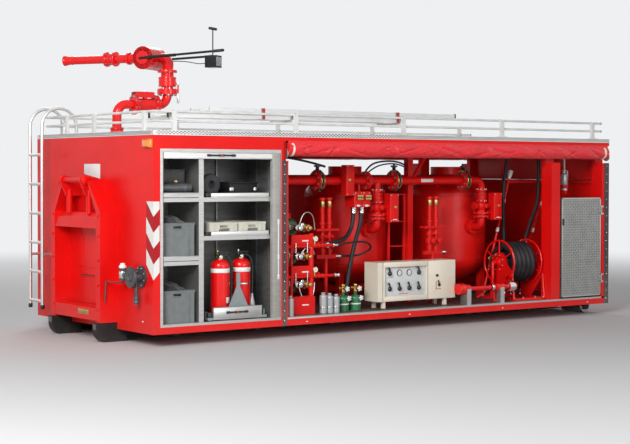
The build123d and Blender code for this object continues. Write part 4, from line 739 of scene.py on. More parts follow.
# %% Folded cloths and shelf gear
cloth_grey = finish("cloth_grey", (0.040, 0.040, 0.045), (0.022, 0.022, 0.025), (0.75, 0.92), 12, 0.6,
                    bump_scale=420, sheen=0.3)
cloth_dark = finish("cloth_dark", (0.075, 0.075, 0.080), (0.040, 0.040, 0.043), (0.7, 0.9), 12, 0.6,
                    bump_scale=420, sheen=0.3)


def folded_cloth(name, low, high, material):
    """A soft heap that fills the space between two corners, flat underneath."""
    bpy.ops.mesh.primitive_ico_sphere_add(subdivisions=5, radius=1)
    heap = bpy.context.object
    centre = [(a + b) / 2 for a, b in zip(low, high)]
    half = [(b - a) / 2 for a, b in zip(low, high)]
    for vertex in heap.data.vertices:
        x, y, z = vertex.co
        square = max(abs(x), abs(y)) or 1
        stretch = 0.82 * min(1.22, math.hypot(x, y) / square)
        ripple = 0.10 * math.sin(9 * x + 4 * y) * math.cos(7 * y - 3 * x)
        vertex.co = (x * stretch * half[0], y * stretch * half[1], (z + ripple) * half[2] * 0.9)
    crease(heap, 0.11, 0.045)
    crease(heap, 0.035, 0.016)
    for vertex in heap.data.vertices:
        for i in range(3):
            vertex.co[i] = max(low[i], min(high[i], vertex.co[i] + centre[i]))
    settle(heap, name, material, smooth=60)


folded_cloth("upper_crate_cloth", (at(485), 0.640, 0.980), (at(130), 1.172, 1.262), cloth_dark)
folded_cloth("lower_crate_cloth", (at(485), 0.640, 0.330), (at(130), 1.172, 0.612), cloth_grey)
for stations, place, axis, sides, name, skin, body, bevel in (
        ([0, 36, 6, 44, 50, 44, 52, 47, 75, 47, 77, 44, 340, 44, 350, 40, 352, 20], (at(480), 1.120, 1.5205), "x",
         32, "shelf_cylinder", coupling_grey, "container", 0.001),
        ([0, 30, 10, 34, 360, 34, 370, 30], (at(520), 1.020, 1.508), "x", 24, "shelf_black_tube", black_plastic,
         "container", 0.001),
        ([0, 12, 4, 16, 20, 16, 22, 10, 34, 10], (at(330), 1.085, 1.580), "y", 20, "shelf_brass_plug", brass,
         "container", 0.0008),
        ([0, 55, 20, 66, 50, 66, 70, 50, 75, 30, 100, 28], (at(800), 0.98, 1.535), "y", 32, "tray_coupling",
         coupling_grey, "upper_tray", 0.002),
        ([0, 80, 12, 105, 50, 110, 72, 95, 78, 40, 20, 36], (at(720), 1.06, 1.5485), "y", 40, "tray_line_drum",
         rubber_and_shade, "upper_tray", 0.003)):
    settle(turned(stations, place, axis, sides), name, skin, body, bevel=bevel)
settle([box(500, 120, 0.90, 0.99, 1.4725, 1.70), box(490, 300, 0.990, 1.010, 1.50, 1.56)], "shelf_case",
       black_plastic, bevel=0.006)
settle([box(1290, 960, 0.80, 1.08, 1.4370, 1.560), box(1300, 950, 0.79, 1.09, 1.555, 1.575)], "tray_case",
       black_paint, "upper_tray", bevel=0.006)
settle([box(rear, rear - 45, 1.080, 1.088, 1.480, 1.52) for rear in (1290, 1005)], "tray_case_catches",
       bright_steel, "upper_tray", bevel=0.002)
print("gear on the shelves")

# %% Extinguishers on their drawer
DRAWER_TOP, DRAWER_FRONT = 0.2483, 1.195
BOTTLES = ((at(872), 1.045), (at(1150), 0.995))
HORN_DROP = rotation("X", 180)
for number, (x, y) in enumerate(BOTTLES):
    for part, stations, dx, dy, dz, axis, sides, skin, bevel, smooth in (
            ("foot", [0, 97.5, 3, 98.5, 40, 98.5, 43, 96.5], 0, 0, 0, "z", 48, black_plastic, 0.001, 35),
            ("band", [0, 96.3, 1, 96.7, 40, 96.7, 41, 96.3], 0, 0, 0.43, "z", 64, label_white, 0, 60),
            ("weld", [0, 96.1, 2, 97.2, 4, 96.1], 0, 0, 0.485, "z", 64, extinguisher_red, 0, 60),
            ("gauge", [0, 17, 2, 19, 12, 19, 14, 17], 0.005, 0.018, 0.583, "y", 24, bright_steel, 0.0008, 35),
            ("dial", [0, 15.5, 1.2, 15.5], 0.005, 0.0315, 0.583, "y", 24, label_white, 0, 35),
            ("pin", [0, 5, 30, 5, 32, 12, 50, 12, 52, 5], 0.030, 0, 0.598, "z", 12,
             bright_steel if number else brass, 0.001, 35),
            ("collar", [0, 30, 4, 32, 16, 32, 20, 28], 0, 0, 0.556, "z", 28, brass, 0.0008, 35),
            ("horn", [0, 12, 20, 14, 90, 30, 130, 36, 132, 34], -0.112, 0.035, 0.205, HORN_DROP, 24,
             gun_grey if number else black_plastic, 0.0006, 35)):
        settle(turned(stations, (x + dx, y + dy, DRAWER_TOP + dz), axis, sides), f"extinguisher_{part}_{number}",
               skin, "drawer", bevel=bevel, smooth=smooth)
    outlet = [(-0.05, 0, 0.60), (-0.10, 0.01, 0.59), (-0.128, 0.02, 0.50), (-0.118, 0.03, 0.33),
              (-0.112, 0.035, 0.20)]
    settle(tube([(x + dx, y + dy, DRAWER_TOP + dz) for dx, dy, dz in outlet], 0.0095, smooth_line=True, sides=5),
           f"extinguisher_hose_{number}", rubber_and_shade, "drawer", smooth=60)
front_bottle, rear_bottle = BOTTLES
settle(turned([0, 96.6, 2, 98.2, 16, 98.2, 18, 96.6], (*rear_bottle, DRAWER_TOP + 0.30), "z", 48),
       "extinguisher_clamp", bright_steel, "drawer", smooth=60)
label = turned([0, 96.4, 1, 96.8, 55, 96.8, 56, 96.4], (*front_bottle, DRAWER_TOP + 0.13), "z", 64)
sliced(label, ((front_bottle[0] - 0.012, 0, 0), (1, 0, 0), "outer"),
       ((front_bottle[0] - 0.075, 0, 0), (1, 0, 0), "inner"), ((0, front_bottle[1], 0), (0, 1, 0), "inner"))
settle(label, "extinguisher_label", label_white, "drawer", smooth=60)
settle(box(1268, 704, DRAWER_FRONT - 0.0002, DRAWER_FRONT + 0.0025, 0.230, 0.340), "drawer_front_skin",
       aluminium, "drawer", bevel=0.001)
bar_handle(at(975), DRAWER_FRONT + 0.002, 0.292, 0.25, "drawer_handle", "drawer")
settle(copies(turned([0, 5, 1.5, 4, 2.5, 1.5], sides=10),
              [spot((at(s), DRAWER_FRONT + 0.0024, z), "y")
               for s in (1255, 717) for z in (0.242, 0.262, 0.282, 0.302, 0.322)]),
       "drawer_rivets", steel, "drawer")
settle(box(690, 642, 1.150, 1.1945, 0.226, 0.300), "drawer_side_block", black_plastic, "drawer", bevel=0.004)
print("extinguishers dressed")

# %% [markdown]
# The bay holds the powder plant. What makes it look real is the hardware: every flange has its ring of
# bolts, every wafer valve its brass seats, and hoses end in crimped fittings. One bolt is modelled and
# copied round each flange, facing both ways.

# %% Bolts on the flanges


def ring_of(centre, radius, count, axis, start=0.0):
    """Matrices for a ring of equal pieces round a centre, all facing along an axis."""
    places = []
    for i in range(count):
        angle = math.radians(start + 360 * i / count)
        arm = facing(axis) @ Vector((radius * math.cos(angle), radius * math.sin(angle), 0))
        places.append(Matrix.Translation(Vector(centre) + arm) @ facing(axis))
    return places


def rings_of(rings, radius, count=8, start=22.5):
    """Places for several equal rings, each given by its centre and axis."""
    return [place for centre, axis in rings for place in ring_of(centre, radius, count, axis, start)]


def hex_bolt(size):
    """A hexagon head on a washer with the thread end above it; the size is in millimetres."""
    return joined([turned([0, size * 1.15, size * 0.25, size * 1.15], sides=14),
                   turned([size * 0.2, size, size * 0.95, size, size * 1.05, size * 0.85], sides=6),
                   turned([size, size * 0.5, size * 1.45, size * 0.5, size * 1.5, size * 0.4], sides=8)])


HEADER_Y, HEADER_Z = 0.650, 1.580
VALVES, STACKS, TANKS, MANIFOLDS = (2350, 3400, 4420), (3160, 4700), (3210, 4730), (2425, 3920)
flanges = [(s + 41 * way, axis) for s in VALVES for way, axis in ((-1, "x"), (1, "-x"))]
flanges += [(2981, "x"), (3019, "-x")]
settle(copies(hex_bolt(11.5), rings_of([((at(s), HEADER_Y, HEADER_Z), axis) for s, axis in flanges], 0.083)),
       "header_bolts", steel)
places = rings_of([((at(s), HEADER_Y, z), axis) for s in STACKS for z, axis in ((1.212, "z"), (1.156, "-z"))], 0.080)
places += rings_of([((at(s), 0.520, 1.040), "y") for s in STACKS], 0.068)
settle(copies(hex_bolt(10.5), places), "stack_bolts", plant_red)
places = rings_of([((at(s), HEADER_Y, z), axis) for s in STACKS for z, axis in ((1.4752, "z"), (1.347, "-z"))],
                  0.056, start=0)
settle(copies(hex_bolt(7.5), places), "stack_clamp_bolts", steel)
settle([turned([-5, 103.5, -5, 116.5, 3, 116.5, 4.5, 114.5, 4.5, 103.5],
               (at(s) + way * 0.019, HEADER_Y, HEADER_Z), axis, 48)
        for s in VALVES for way, axis in ((1, "x"), (-1, "-x"))], "valve_seat_rings", brass, bevel=0.0006)
settle(copies(turned([-23, 13, 23, 13], sides=16),
              rings_of([((at(s), HEADER_Y, HEADER_Z), "x") for s in VALVES], 0.108, 12, 15)),
       "valve_lugs", coupling_grey, bevel=0.003)
settle([box(s + half, s - half, HEADER_Y - half / 1000, HEADER_Y + half / 1000, z0, z1)
        for s in VALVES for half, z0, z1 in ((28, 1.728, 1.748), (10, 1.740, 1.766))],
       "valve_top_plates", coupling_grey, bevel=0.003)
settle([turned([-4, 44, -2, 46.2, 2, 46.2, 4, 44], (at(s), HEADER_Y, HEADER_Z), "x", 40)
        for s in (1620, 2240, 2700, 3290, 3520, 4290, 4500)]
       + [turned([-4, 44.5, -2, 47.5, 2, 47.5, 4, 44.5], (at(s), HEADER_Y, z), "z", 40)
          for s in STACKS for z in (1.147, 1.118)], "pipe_welds", plant_red, smooth=60)
label = turned([0, 44.9, 1, 45.3, 175, 45.3, 176, 44.9], (at(3935), HEADER_Y, HEADER_Z), "x", 64)
sliced(label, ((0, HEADER_Y, HEADER_Z - 0.018), (0, 0, 1), "inner"),
       ((0, HEADER_Y, HEADER_Z + 0.018), (0, 0, 1), "outer"), ((0, HEADER_Y, 0), (0, 1, 0), "inner"))
settle(label, "header_blank_label", label_white, smooth=60)
print("header bolted")

# %% Pinch valve ribs, valve stems and tank trim
ribs = []
for s in STACKS:
    ribs += [turned([-6, 58, -4, 61, 4, 61, 6, 58], (at(s), HEADER_Y, z), "z", 40)
             for z in (1.442, 1.407, 1.373, 1.338)]
    ribs += [turned([0, 40, 50, 40, 52, 46, 62, 46, 64, 30], (at(s - 52), HEADER_Y, 1.286), "x", 28),
             turned([0, 28, 45, 28, 48, 22], (at(s), HEADER_Y + 0.055, 1.286), "y", 24),
             block((at(s + 55), HEADER_Y - 0.02, 1.272), (at(s + 100), HEADER_Y + 0.02, 1.300))]
settle(ribs, "stack_details", plant_red, bevel=0.0012, smooth=50)
trim = []
for s in TANKS:
    trim += [turned([-6, 464.5, -3, 467.2, 3, 467.2, 6, 464.5], (at(s), 0, z), "z", 96) for z in (0.655, 1.400)]
    trim.append(turned([-10, 195, -10, 222, 14, 222, 16, 218, 16, 195], (at(s), 0, 1.606), "z", 64))
    for degrees in (35, 90, 145, 270):
        angle = math.radians(degrees)
        place = (at(s) + 0.400 * math.cos(angle), 0.400 * math.sin(angle), 1.500)
        trim.append(moved(block((-0.008, -0.03, -0.05), (0.008, 0.03, 0.05)), spot(place, spin=degrees + 90)))
settle(trim, "tank_trim", plant_red, bevel=0.001, smooth=50)
settle(copies(hex_bolt(12), rings_of([((at(s), 0, 1.6215), "z") for s in TANKS], 0.205, 16, 0)),
       "tank_lid_bolts", steel)
print("tanks trimmed")

# %% [markdown]
# The hoses of the plant are held at both ends, and each is one smooth line through the same points as
# its plain solid. Pressed ends and screwed nuts of bright metal finish them.

# %% Plant hoses
COLLECT_Y = 1.060
HOSE, GAS_HOSE, SUPPLY_HOSE = 0.0225, 0.0108, 0.0208
routes = {
    "powder_hose_left": (HOSE, (2797, 0.700, 1.295), (2797, 0.700, 1.130), (2700, 0.730, 0.985),
                         (2540, 0.800, 0.935), (2350, 0.850, 0.915), (2200, 0.900, 0.912), (2200, 1.043, 0.912)),
    "powder_hose_right": (HOSE, (2909, 0.700, 1.295), (2909, 0.700, 1.150), (2780, 0.740, 0.900),
                          (2700, 0.765, 0.660), (2650, 0.775, 0.430), (2640, 0.780, 0.330), (2640, 0.780, 0.2102)),
    "gas_hose": (GAS_HOSE, (2245, COLLECT_Y, 0.912), (2330, COLLECT_Y, 0.912), (2480, 1.010, 0.925),
                 (2660, 0.940, 0.932), (2850, 0.880, 0.925), (2960, 0.830, 0.850), (2870, 0.730, 0.775),
                 (2760, 0.690, 0.768), (2650, 0.700, 0.770), (2555, 0.700, 0.770)),
    "supply_hose_rear": (SUPPLY_HOSE, (5700, 0.560, 1.984), (5700, 0.560, 1.560), (5690, 0.560, 1.290),
                         (5520, 0.560, 0.980), (5420, 0.560, 0.620), (5410, 0.560, 0.380), (5410, 0.560, 0.2102)),
    "supply_hose_front": (SUPPLY_HOSE, (5185, 0.560, 1.984), (5185, 0.560, 1.840), (5140, 0.560, 1.560),
                          (5125, 0.560, 1.270), (5145, 0.560, 0.900), (5150, 0.560, 0.480), (5150, 0.560, 0.2102)),
}


def line_at(points, radius, sides=4):
    """A smooth tube through points given by station, Y and Z."""
    return tube([(at(s), y, z) for s, y, z in points], radius, smooth_line=True, sides=sides)


for name, (radius, *points) in routes.items():
    hose = settle(line_at(points, radius, 8), name, hose_black, smooth=60)
    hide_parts("plant_hoses")
for name, radius, s, y, z, axis in (
        ("hose_end_a", HOSE, 2797, 0.700, 1.270, "-z"), ("hose_end_b", HOSE, 2909, 0.700, 1.270, "-z"),
        ("hose_end_c", HOSE, 2200, 1.020, 0.912, "-y"), ("hose_end_d", HOSE, 2640, 0.780, 0.238, "z"),
        ("gas_hose_end_a", GAS_HOSE, 2270, COLLECT_Y, 0.912, "-x"),
        ("gas_hose_end_b", GAS_HOSE, 2580, 0.700, 0.770, "-x"),
        ("supply_end_a", SUPPLY_HOSE, 5410, 0.560, 0.238, "z"), ("supply_end_b", SUPPLY_HOSE, 5150, 0.560, 0.238, "z")):
    snug, crimp, waist = (1000 * radius * share for share in (1.05, 1.22, 1.12))
    nut = 1000 * radius * 1.38
    nut_place = Vector((at(s), y, z)) + facing(axis) @ Vector((0, 0, -0.026))
    settle([turned([0, snug, 2, crimp, 20, crimp, 22, waist, 26, crimp, 44, crimp, 46, snug], (at(s), y, z), axis, 28),
            turned([0, nut, 24, nut], nut_place, axis, 6)], name, bright_steel, bevel=0.0012)
print("hoses run:", len(routes))

# %% Actuator boxes: lids, screws, knobs and blank labels
lids, places = [], []
for start, end, y, z0, z1 in ((2632, 2740, 0.795, 1.420, 1.750), (2745, 2849, 0.790, 1.295, 1.463),
                              (2857, 2961, 0.790, 1.295, 1.463), (3256, 3374, 0.770, 1.124, 1.437),
                              (4796, 4914, 0.770, 1.124, 1.437)):
    lids.append(box(end - 5, start + 5, y - 0.0004, y + 0.0035, z0 + 0.006, z1 - 0.006))
    places += [spot((at(s), y + 0.003, z), "y") for s in (start + 13, end - 13) for z in (z0 + 0.016, z1 - 0.016)]
settle(lids, "box_lids", plant_red, bevel=0.0015)
settle(copies(turned([0, 6, 2, 6, 3, 4], sides=10), places), "box_lid_screws", steel)
settle([box(end, start, y - 0.0003, y + 0.0012, z0, z1) for start, end, y, z0, z1 in (
    (2775, 2818, 0.7935, 1.302, 1.322), (2888, 2931, 0.7935, 1.302, 1.322),
    (3290, 3345, 0.7735, 1.146, 1.158), (4830, 4885, 0.7735, 1.146, 1.158))],
       "box_blank_labels", label_white, bevel=0.0003)
settle([turned([0, 16, 4, 18, 10, 18, 13, 14], (at(s), y, z), "y", 24)
        for s, y, z in ((2668, 0.7985, 1.590), (3322, 0.7735, 1.290), (4862, 0.7735, 1.290))],
       "box_knobs", brass, bevel=0.001)
settle([turned([0, 9.5, 20, 9.5, 22, 13, 36, 13], (at(s + step), 0.7935, z), "y", 12)
        for s in (2797, 2909) for step in (26, 0, -26) for z in (1.385, 1.415)],
       "box_nipples", brass, bevel=0.0008)
print("boxes finished")

# %% Small manifolds: hand wheels, caps and pipe unions
unions, caps = [], []
for s in MANIFOLDS:
    for x in (at(s) + 0.046, at(s) - 0.046):
        unions += [turned([0, 30, 4, 33, 30, 33, 34, 30], (x, 0.700, 1.105), "z", 6),
                   turned([0, 27, 20, 27], (x, 0.700, 1.245), "z", 6),
                   turned([0, 20, 32, 20, 34, 34, 46, 34, 50, 28], (x, 0.735, 0.905), "y", 20),
                   turned([0, 16, 45, 16, 47, 10, 60, 10], (x, 0.720, 0.985), "y", 18)]
        caps.append(turned([0, 24.5, 3, 26.5, 60, 26.5, 64, 22], (x, 0.700, 1.300), "z", 24))
    unions.append(box(s + 146, s - 146, 0.7405, 0.7465, 1.050, 1.064))
settle(unions, "manifold_unions", plant_red, bevel=0.0012)
settle(caps, "manifold_sleeves", brass, bevel=0.001)
settle([turned([0, 17, 30, 17, 32, 21, 55, 21, 57, 12, 75, 12], (at(s + 130), 0.700, 0.770), "-x", 20)
        for s in MANIFOLDS], "manifold_bar_ends", bright_steel, bevel=0.001)
print("manifolds finished")

# %% [markdown]
# Three green gas cylinders lie one above the other, their valves towards the open side. Valves, pressure
# regulators and gauges are turned parts, so each is a stack of discs.

# %% Cylinder valves, regulators and gauges
GAS_X, GAS_Z = at(1850), (1.095, 0.800, 0.510)
cast, faces, marks, shiny = [], [], [], []
for z in GAS_Z:
    shiny += [turned([0, 30.5, 2, 34, 16, 34, 18, 30.5], (GAS_X, 0.927, z), "y", 6),
              turned([0, 31, 4, 36, 22, 36, 26, 30, 30, 18, 52, 18, 54, 26, 70, 26, 72, 20],
                     (GAS_X, 0.988, z), "y", 28)]
    cast += [turned([0, 30.5, 3, 40, 30, 42, 40, 34, 50, 30], (GAS_X - 0.110, 0.985, z), "y", 32),
             turned([0, 12, 20, 12, 22, 20, 42, 20, 45, 14], (GAS_X - 0.110, 1.030, z), "y", 16)]
    faces.append(turned([0, 20, 6, 24, 20, 24, 22, 21], (GAS_X - 0.045, 1.000, z + 0.030), "y", 24))
    marks.append(block((GAS_X + 0.020, 0.905, z - 0.018), (GAS_X + 0.048, 0.912, z + 0.030)))
settle(shiny, "cylinder_valves", bright_steel, bevel=0.001)
settle(cast, "regulator_bodies", brass, bevel=0.0012)
settle(faces, "regulator_caps", bright_steel, bevel=0.001)
settle(marks, "cylinder_marks", label_white, bevel=0.0006)
loops = [((0.02, 1.045, z + 0.02 * way), (-0.005, 1.060, z + 0.14 * way), (-0.080, 1.065, z + 0.175 * way),
          (-0.160, 1.060, z + 0.12 * way), (-0.175, 1.050, z - 0.02 * way)) for z, way in ((1.095, 1), (0.510, -1))]
loops.append(((-0.01, 1.045, 0.830), (-0.03, 1.06, 0.880), (-0.09, 1.065, 0.900), (-0.150, 1.060, 0.885),
              (-0.172, 1.050, 0.82)))
settle([tube([(GAS_X + dx, y, z) for dx, y, z in loop], 0.0055, smooth_line=True, sides=4) for loop in loops],
       "pilot_pipes", steel, smooth=60)


def pointer(half, thick, low, high, place, degrees):
    """A needle or a tick of a gauge, turned round the gauge's axis."""
    return moved(block((-half, 0, low), (half, thick, high)), Matrix.Translation(place) @ rotation("Y", degrees))


cases, dials, needles = [], [], []
for z in (0.986, 0.666):
    x, y = at(2003), 1.078
    cases += [turned([-20, 28, 0, 31.5, 20, 31.5, 24, 29, 24, 26.5, 18, 26.5], (x, y, z), "y", 36),
              turned([-74, 7, -55, 7, -30, 11], (x, y, z), "z", 12)]
    dials.append(turned([0, 27, 2, 27], (x, y + 0.0175, z), "y", 36))
    needles.append(pointer(0.0012, 0.001, -0.004, 0.019, (x, y + 0.0197, z), -120))
settle(cases, "gauge_cases", brass, bevel=0.0008)
settle(dials, "gauge_faces", label_white)
settle(needles, "gauge_needles", black_plastic)

nuts = []
for z in (0.912, 0.598):
    nuts += [turned([0, 23, 4, 25, 20, 25, 24, 23], (at(s), COLLECT_Y, z), "x", 6)
             for s in (1690, 1752, 1940, 2040, 2085, 2130)]
    nuts += [turned([-20, 12, 0, 18, 22, 18, 30, 12], (at(2060), COLLECT_Y, z + 0.012), "z", 16),
             turned([0, 10, 30, 10, 32, 16, 45, 16], (at(1752), COLLECT_Y, z - 0.062), "z", 14)]
settle(nuts, "collecting_pipe_unions", plant_red, bevel=0.001)
settle([turned([0, 17.5, 2, 24, 30, 24, 33, 17, 50, 17, 53, 21, 68, 21, 70, 12],
               (at(2262), COLLECT_Y, 0.598), "-x", 24),
        turned([0, 17.5, 2, 22, 18, 22, 20, 18], (at(2246), COLLECT_Y, 0.912), "-x", 6)],
       "collecting_pipe_ends", bright_steel, bevel=0.001)
settle([box(1925, 1845, y, y + 0.0028, z, z + 0.014) for y, z in ((1.0797, 0.960), (1.0797, 0.640), (1.0847, 0.300))],
       "red_box_labels", label_white, bevel=0.0006)
settle([turned([0, 6, 100, 6], (at(s), 1.088, z), "z", 10) for s in (1760, 1905) for z in (0.845, 0.540)],
       "red_box_studs", bright_steel)
print("gas cylinders finished")

# %% Small bottles and star-handled valves
necks, bands = [], []
for s, y, height, radius in ((2100, 1.100, 0.195, 38), (2182, 1.100, 0.185, 38), (2266, 1.100, 0.172, 38),
                             (1648, 1.150, 0.185, 36)):
    neck, shoulder, knob, tip = (radius * share for share in (0.5, 0.55, 0.62, 0.4))
    necks.append(turned([-12, shoulder, 0, neck, 10, neck, 12, knob, 20, knob, 22, tip],
                        (at(s), y, 0.210 + height), "z", 20))
    if s > 2000:
        bands.append(turned([0, radius, 1, radius + 0.8, 12, radius + 0.8, 13, radius], (at(s), y, 0.265), "z", 32))
settle(necks, "bottle_caps", bottle_grey, bevel=0.001)
settle(bands, "bottle_bands", steel, smooth=60)
metal, stars, hoops = [], [], []
for x in (at(2440), at(2600)):
    y, z = 0.990, 0.405
    metal += [
        turned([-10, 16.5, 0, 22, 20, 22, 24, 16, 60, 16, 64, 24, 82, 24, 86, 14], (x, y, z), "z", 20),
        turned([0, 14, 40, 14, 42, 22, 56, 22], (x, y + 0.010, z + 0.040), "y", 18),
        turned([0, 12, 45, 12, 47, 19, 60, 19], (x - 0.010, y, z + 0.040), "-x", 16),
        turned([0, 12, 40, 12, 44, 20, 52, 20], (x + 0.010, y, z + 0.045), "x", 16),
        turned([0, 10, 70, 10], (x - 0.02, y + 0.002, z - 0.060), "y", 14)]
    for cx, cy, cz in ((x, y + 0.070, z + 0.040), (x - 0.02, y + 0.072, z - 0.060)):
        stars.append(turned([0, 12, 4, 14, 14, 14, 18, 10], (cx, cy, cz), "y", 16))
        for angle in (math.radians(72 * i) for i in range(5)):
            stars.append(turned([2, 8.5, 5, 9.8, 13, 9.8, 16, 8],
                                (cx + 0.020 * math.cos(angle), cy, cz + 0.020 * math.sin(angle)), "y", 12))
    hoops.append(turned([0, 62, 1, 63.2, 14, 63.2, 15, 62], (x, y, 0.275), "z", 36))
settle(metal, "small_cylinder_valves", brass, bevel=0.001)
settle(stars, "star_handles", label_white, bevel=0.0008)
settle(hoops, "small_cylinder_bands", label_white, smooth=60)
print("small bottles finished")

# %% Cables behind the header and the floor plates
cable_blue = finish("cable_blue", (0.02, 0.03, 0.12), (0.015, 0.02, 0.09), (0.4, 0.55), 20, 0.1)
settle(line_at([(2480, 0.62, 1.73), (2300, 0.50, 1.80), (1900, 0.30, 1.86), (1560, 0.15, 1.90)], 0.012),
       "ceiling_cable", rubber_and_shade, smooth=60)
settle([line_at([(3040, 0.60, 1.68), (3130, 0.56, 1.76), (3350, 0.53, 1.80), (3600, 0.52, 1.79), (3735, 0.46, 1.74)],
                0.010),
        line_at([(3060, 0.60, 1.66), (3200, 0.55, 1.73), (3400, 0.52, 1.77), (3600, 0.50, 1.765), (3735, 0.46, 1.72)],
                0.008)], "ceiling_cables_blue", cable_blue, smooth=60)
settle([box(end, start, -1.180, 1.184, 0.2101, 0.2117)
        for start, end in ((1600, 2720), (2722, 3920), (3922, 5130), (5132, 6050))],
       "bay_floor_plates", bay_grey, bevel=0.0004)
print("cables run and floor laid")

# %% [markdown]
# The control cabinet stands on the sill. Its panel is set back behind a raised frame and carries six
# black levers and two gauges, the plain lid beside it a lock and a small lever.

# %% Control cabinet
panel_grey = finish("panel_grey", (0.66, 0.68, 0.68), (0.60, 0.62, 0.62), (0.35, 0.5), 9, 0.08)
CAB_Y, PANEL_Y = 1.100, 1.072
settle([box(rear, front, CAB_Y - 0.0004, CAB_Y + rise, z0, z1) for rear, front, rise, z0, z1 in (
    (3512, 2900, 0.0035, 0.656, 0.705), (3512, 2900, 0.0035, 0.294, 0.343), (2918, 2900, 0.0035, 0.343, 0.656),
    (3512, 3494, 0.0035, 0.343, 0.656), (3906, 3520, 0.004, 0.294, 0.705))],
       "cabinet_front_frame", cabinet_white, bevel=0.0018)
settle(box(3498, 2914, PANEL_Y - 0.0003, PANEL_Y + 0.002, 0.334, 0.665), "cabinet_panel", panel_grey, bevel=0.0008)
settle([box(2892, 2886, 0.872, CAB_Y + 0.0006, 0.2895, 0.7096), box(3518, 3514, CAB_Y, CAB_Y + 0.0008, 0.292, 0.707)],
       "cabinet_seams", strip_black)
LEVERS = [(at(s), z - 0.014) for s, z in ((3000, 0.600), (3405, 0.600), (3000, 0.435), (3135, 0.435), (3270, 0.435),
                                          (3405, 0.435))]
settle([turned([0, 24, 4, 26, 13, 26, 18, 21, 26, 13, 30, 13], (x, PANEL_Y + 0.002, z), "y", 24) for x, z in LEVERS],
       "panel_lever_bosses", black_plastic, bevel=0.001)
settle([turned([0, 7.5, 30, 7.5, 60, 10.5, 74, 11.2, 80, 7], (x, PANEL_Y + 0.026, z), along((0.55, 0.16, 1.0)), 14)
        for x, z in LEVERS], "panel_levers", black_plastic)
cases, dials, hands = [], [], []
for x, z in ((at(3135), 0.590), (at(3270), 0.590)):
    cases.append(turned([0, 35, 8, 35, 10, 33, 10, 29.5, 4, 29.5], (x, PANEL_Y + 0.002, z), "y", 40))
    dials.append(turned([0, 30, 1.5, 30], (x, PANEL_Y + 0.0055, z), "y", 36))
    hands.append(pointer(0.001, 0.0008, -0.004, 0.022, (x, PANEL_Y + 0.0075, z), -130))
    hands += [pointer(0.0007, 0.0006, 0.024, 0.0285, (x, PANEL_Y + 0.007, z), -120 + 30 * i) for i in range(9)]
settle(cases, "panel_gauge_cases", black_plastic, bevel=0.0008)
settle(dials, "panel_gauge_dials", label_white)
settle(hands, "panel_gauge_hands", black_plastic)
settle([box(rear, front, PANEL_Y + 0.0018, PANEL_Y + 0.0024, z0, z1) for rear, front, z0, z1 in (
    (3290, 3120, 0.640, 0.646), (3048, 2972, 0.540, 0.545), (3262, 3130, 0.360, 0.366))]
       + [box(3636, 3626, CAB_Y + 0.0038, CAB_Y + 0.0046, 0.395, 0.480),
          box(3700, 3626, CAB_Y + 0.0038, CAB_Y + 0.0046, 0.392, 0.400)], "panel_red_bars", button_red)
settle([turned([0, 16, 3, 18, 8, 18, 10, 14], (at(3672), CAB_Y + 0.004, 0.440), "y", 20),
        turned([0, 13, 4, 15, 8, 15], (at(3640), CAB_Y + 0.004, 0.545), "y", 20),
        box(3660, 3618, CAB_Y + 0.010, CAB_Y + 0.016, 0.541, 0.549),
        turned([0, 6, 50, 8, 60, 6], (at(3672), CAB_Y + 0.016, 0.440), along((0.5, 0.15, 1.0)), 12)],
       "cabinet_lock_and_lever", black_plastic, bevel=0.0008)
settle([box(rear, rear - 60, 1.045, 1.090, 0.2102, 0.2155) for rear in (2950, 3810)], "cabinet_feet", black_plastic,
       bevel=0.001)
print("cabinet fitted")

# %% Powder gun: rings, silver tip, guard and hand lever
GUN_Y, GUN_Z = 1.165, 0.384
settle([turned(stations, (at(s), GUN_Y, GUN_Z), "x", sides) for s, stations, sides in (
    (3975, [0, 60.5, 3, 63.5, 16, 63.5, 20, 60.5], 40), (3912, [0, 60.5, 2, 62.5, 12, 62.5, 14, 60.5], 40),
    (4090, [0, 26, 4, 31, 24, 31, 28, 26], 28), (4370, [0, 25.5, 3, 28, 12, 28, 15, 25.5], 28),
    (4560, [0, 41, 4, 44, 20, 44, 24, 41], 32), (4490, [0, 41, 4, 44, 20, 44, 24, 41], 32))],
       "gun_rings", extinguisher_red, bevel=0.001)
settle(turned([-104, 30, -103, 58.5, -98, 61.5, -70, 62, -66, 59, -60, 59, -56, 62, -20, 60, -4, 52, 1.5, 30, 1.5, 10],
              (at(4622), GUN_Y, GUN_Z), "x", 40), "gun_silver_coupling", bright_steel, bevel=0.001)
settle(turned([0, 36.5, 3, 38.5, 30, 38.5, 33, 36.5], (at(4418), GUN_Y, GUN_Z), "x", 32), "gun_silver_ring",
       bright_steel, bevel=0.001)
settle([tube([(at(s), GUN_Y + y, GUN_Z + z) for s, y, z in points], radius, smooth_line=smooth_line, sides=4)
        for radius, smooth_line, points in (
            (0.012, False, ((4440, -0.010, -0.036), (4450, -0.02, -0.10), (4462, -0.03, -0.160))),
            (0.014, True, ((4350, -0.020, -0.020), (4330, -0.075, -0.060), (4290, -0.085, -0.100),
                           (4240, -0.085, -0.110))))], "gun_grips", extinguisher_red, smooth=50)
settle([box(rear, rear - 56, 1.107, 1.1085, 0.2105, 0.380) for rear in (4040, 4538)], "gun_stand_edges", gun_grey,
       bevel=0.0006)
saddle = turned([-31, 50.5, -31, 48, 31, 48, 31, 50.5], (at(4012), GUN_Y, GUN_Z), "x", 40)
settle(sliced(saddle, ((0, 0, GUN_Z), (0, 0, 1), "outer")), "gun_saddles", rubber_and_shade, smooth=50)
print("gun fitted")

# %% [markdown]
# The reel carries a stiff dark hose. Its turns are real turns: one line that winds in a helix in two
# layers, given the hose's thickness, with each turn a little out of true.

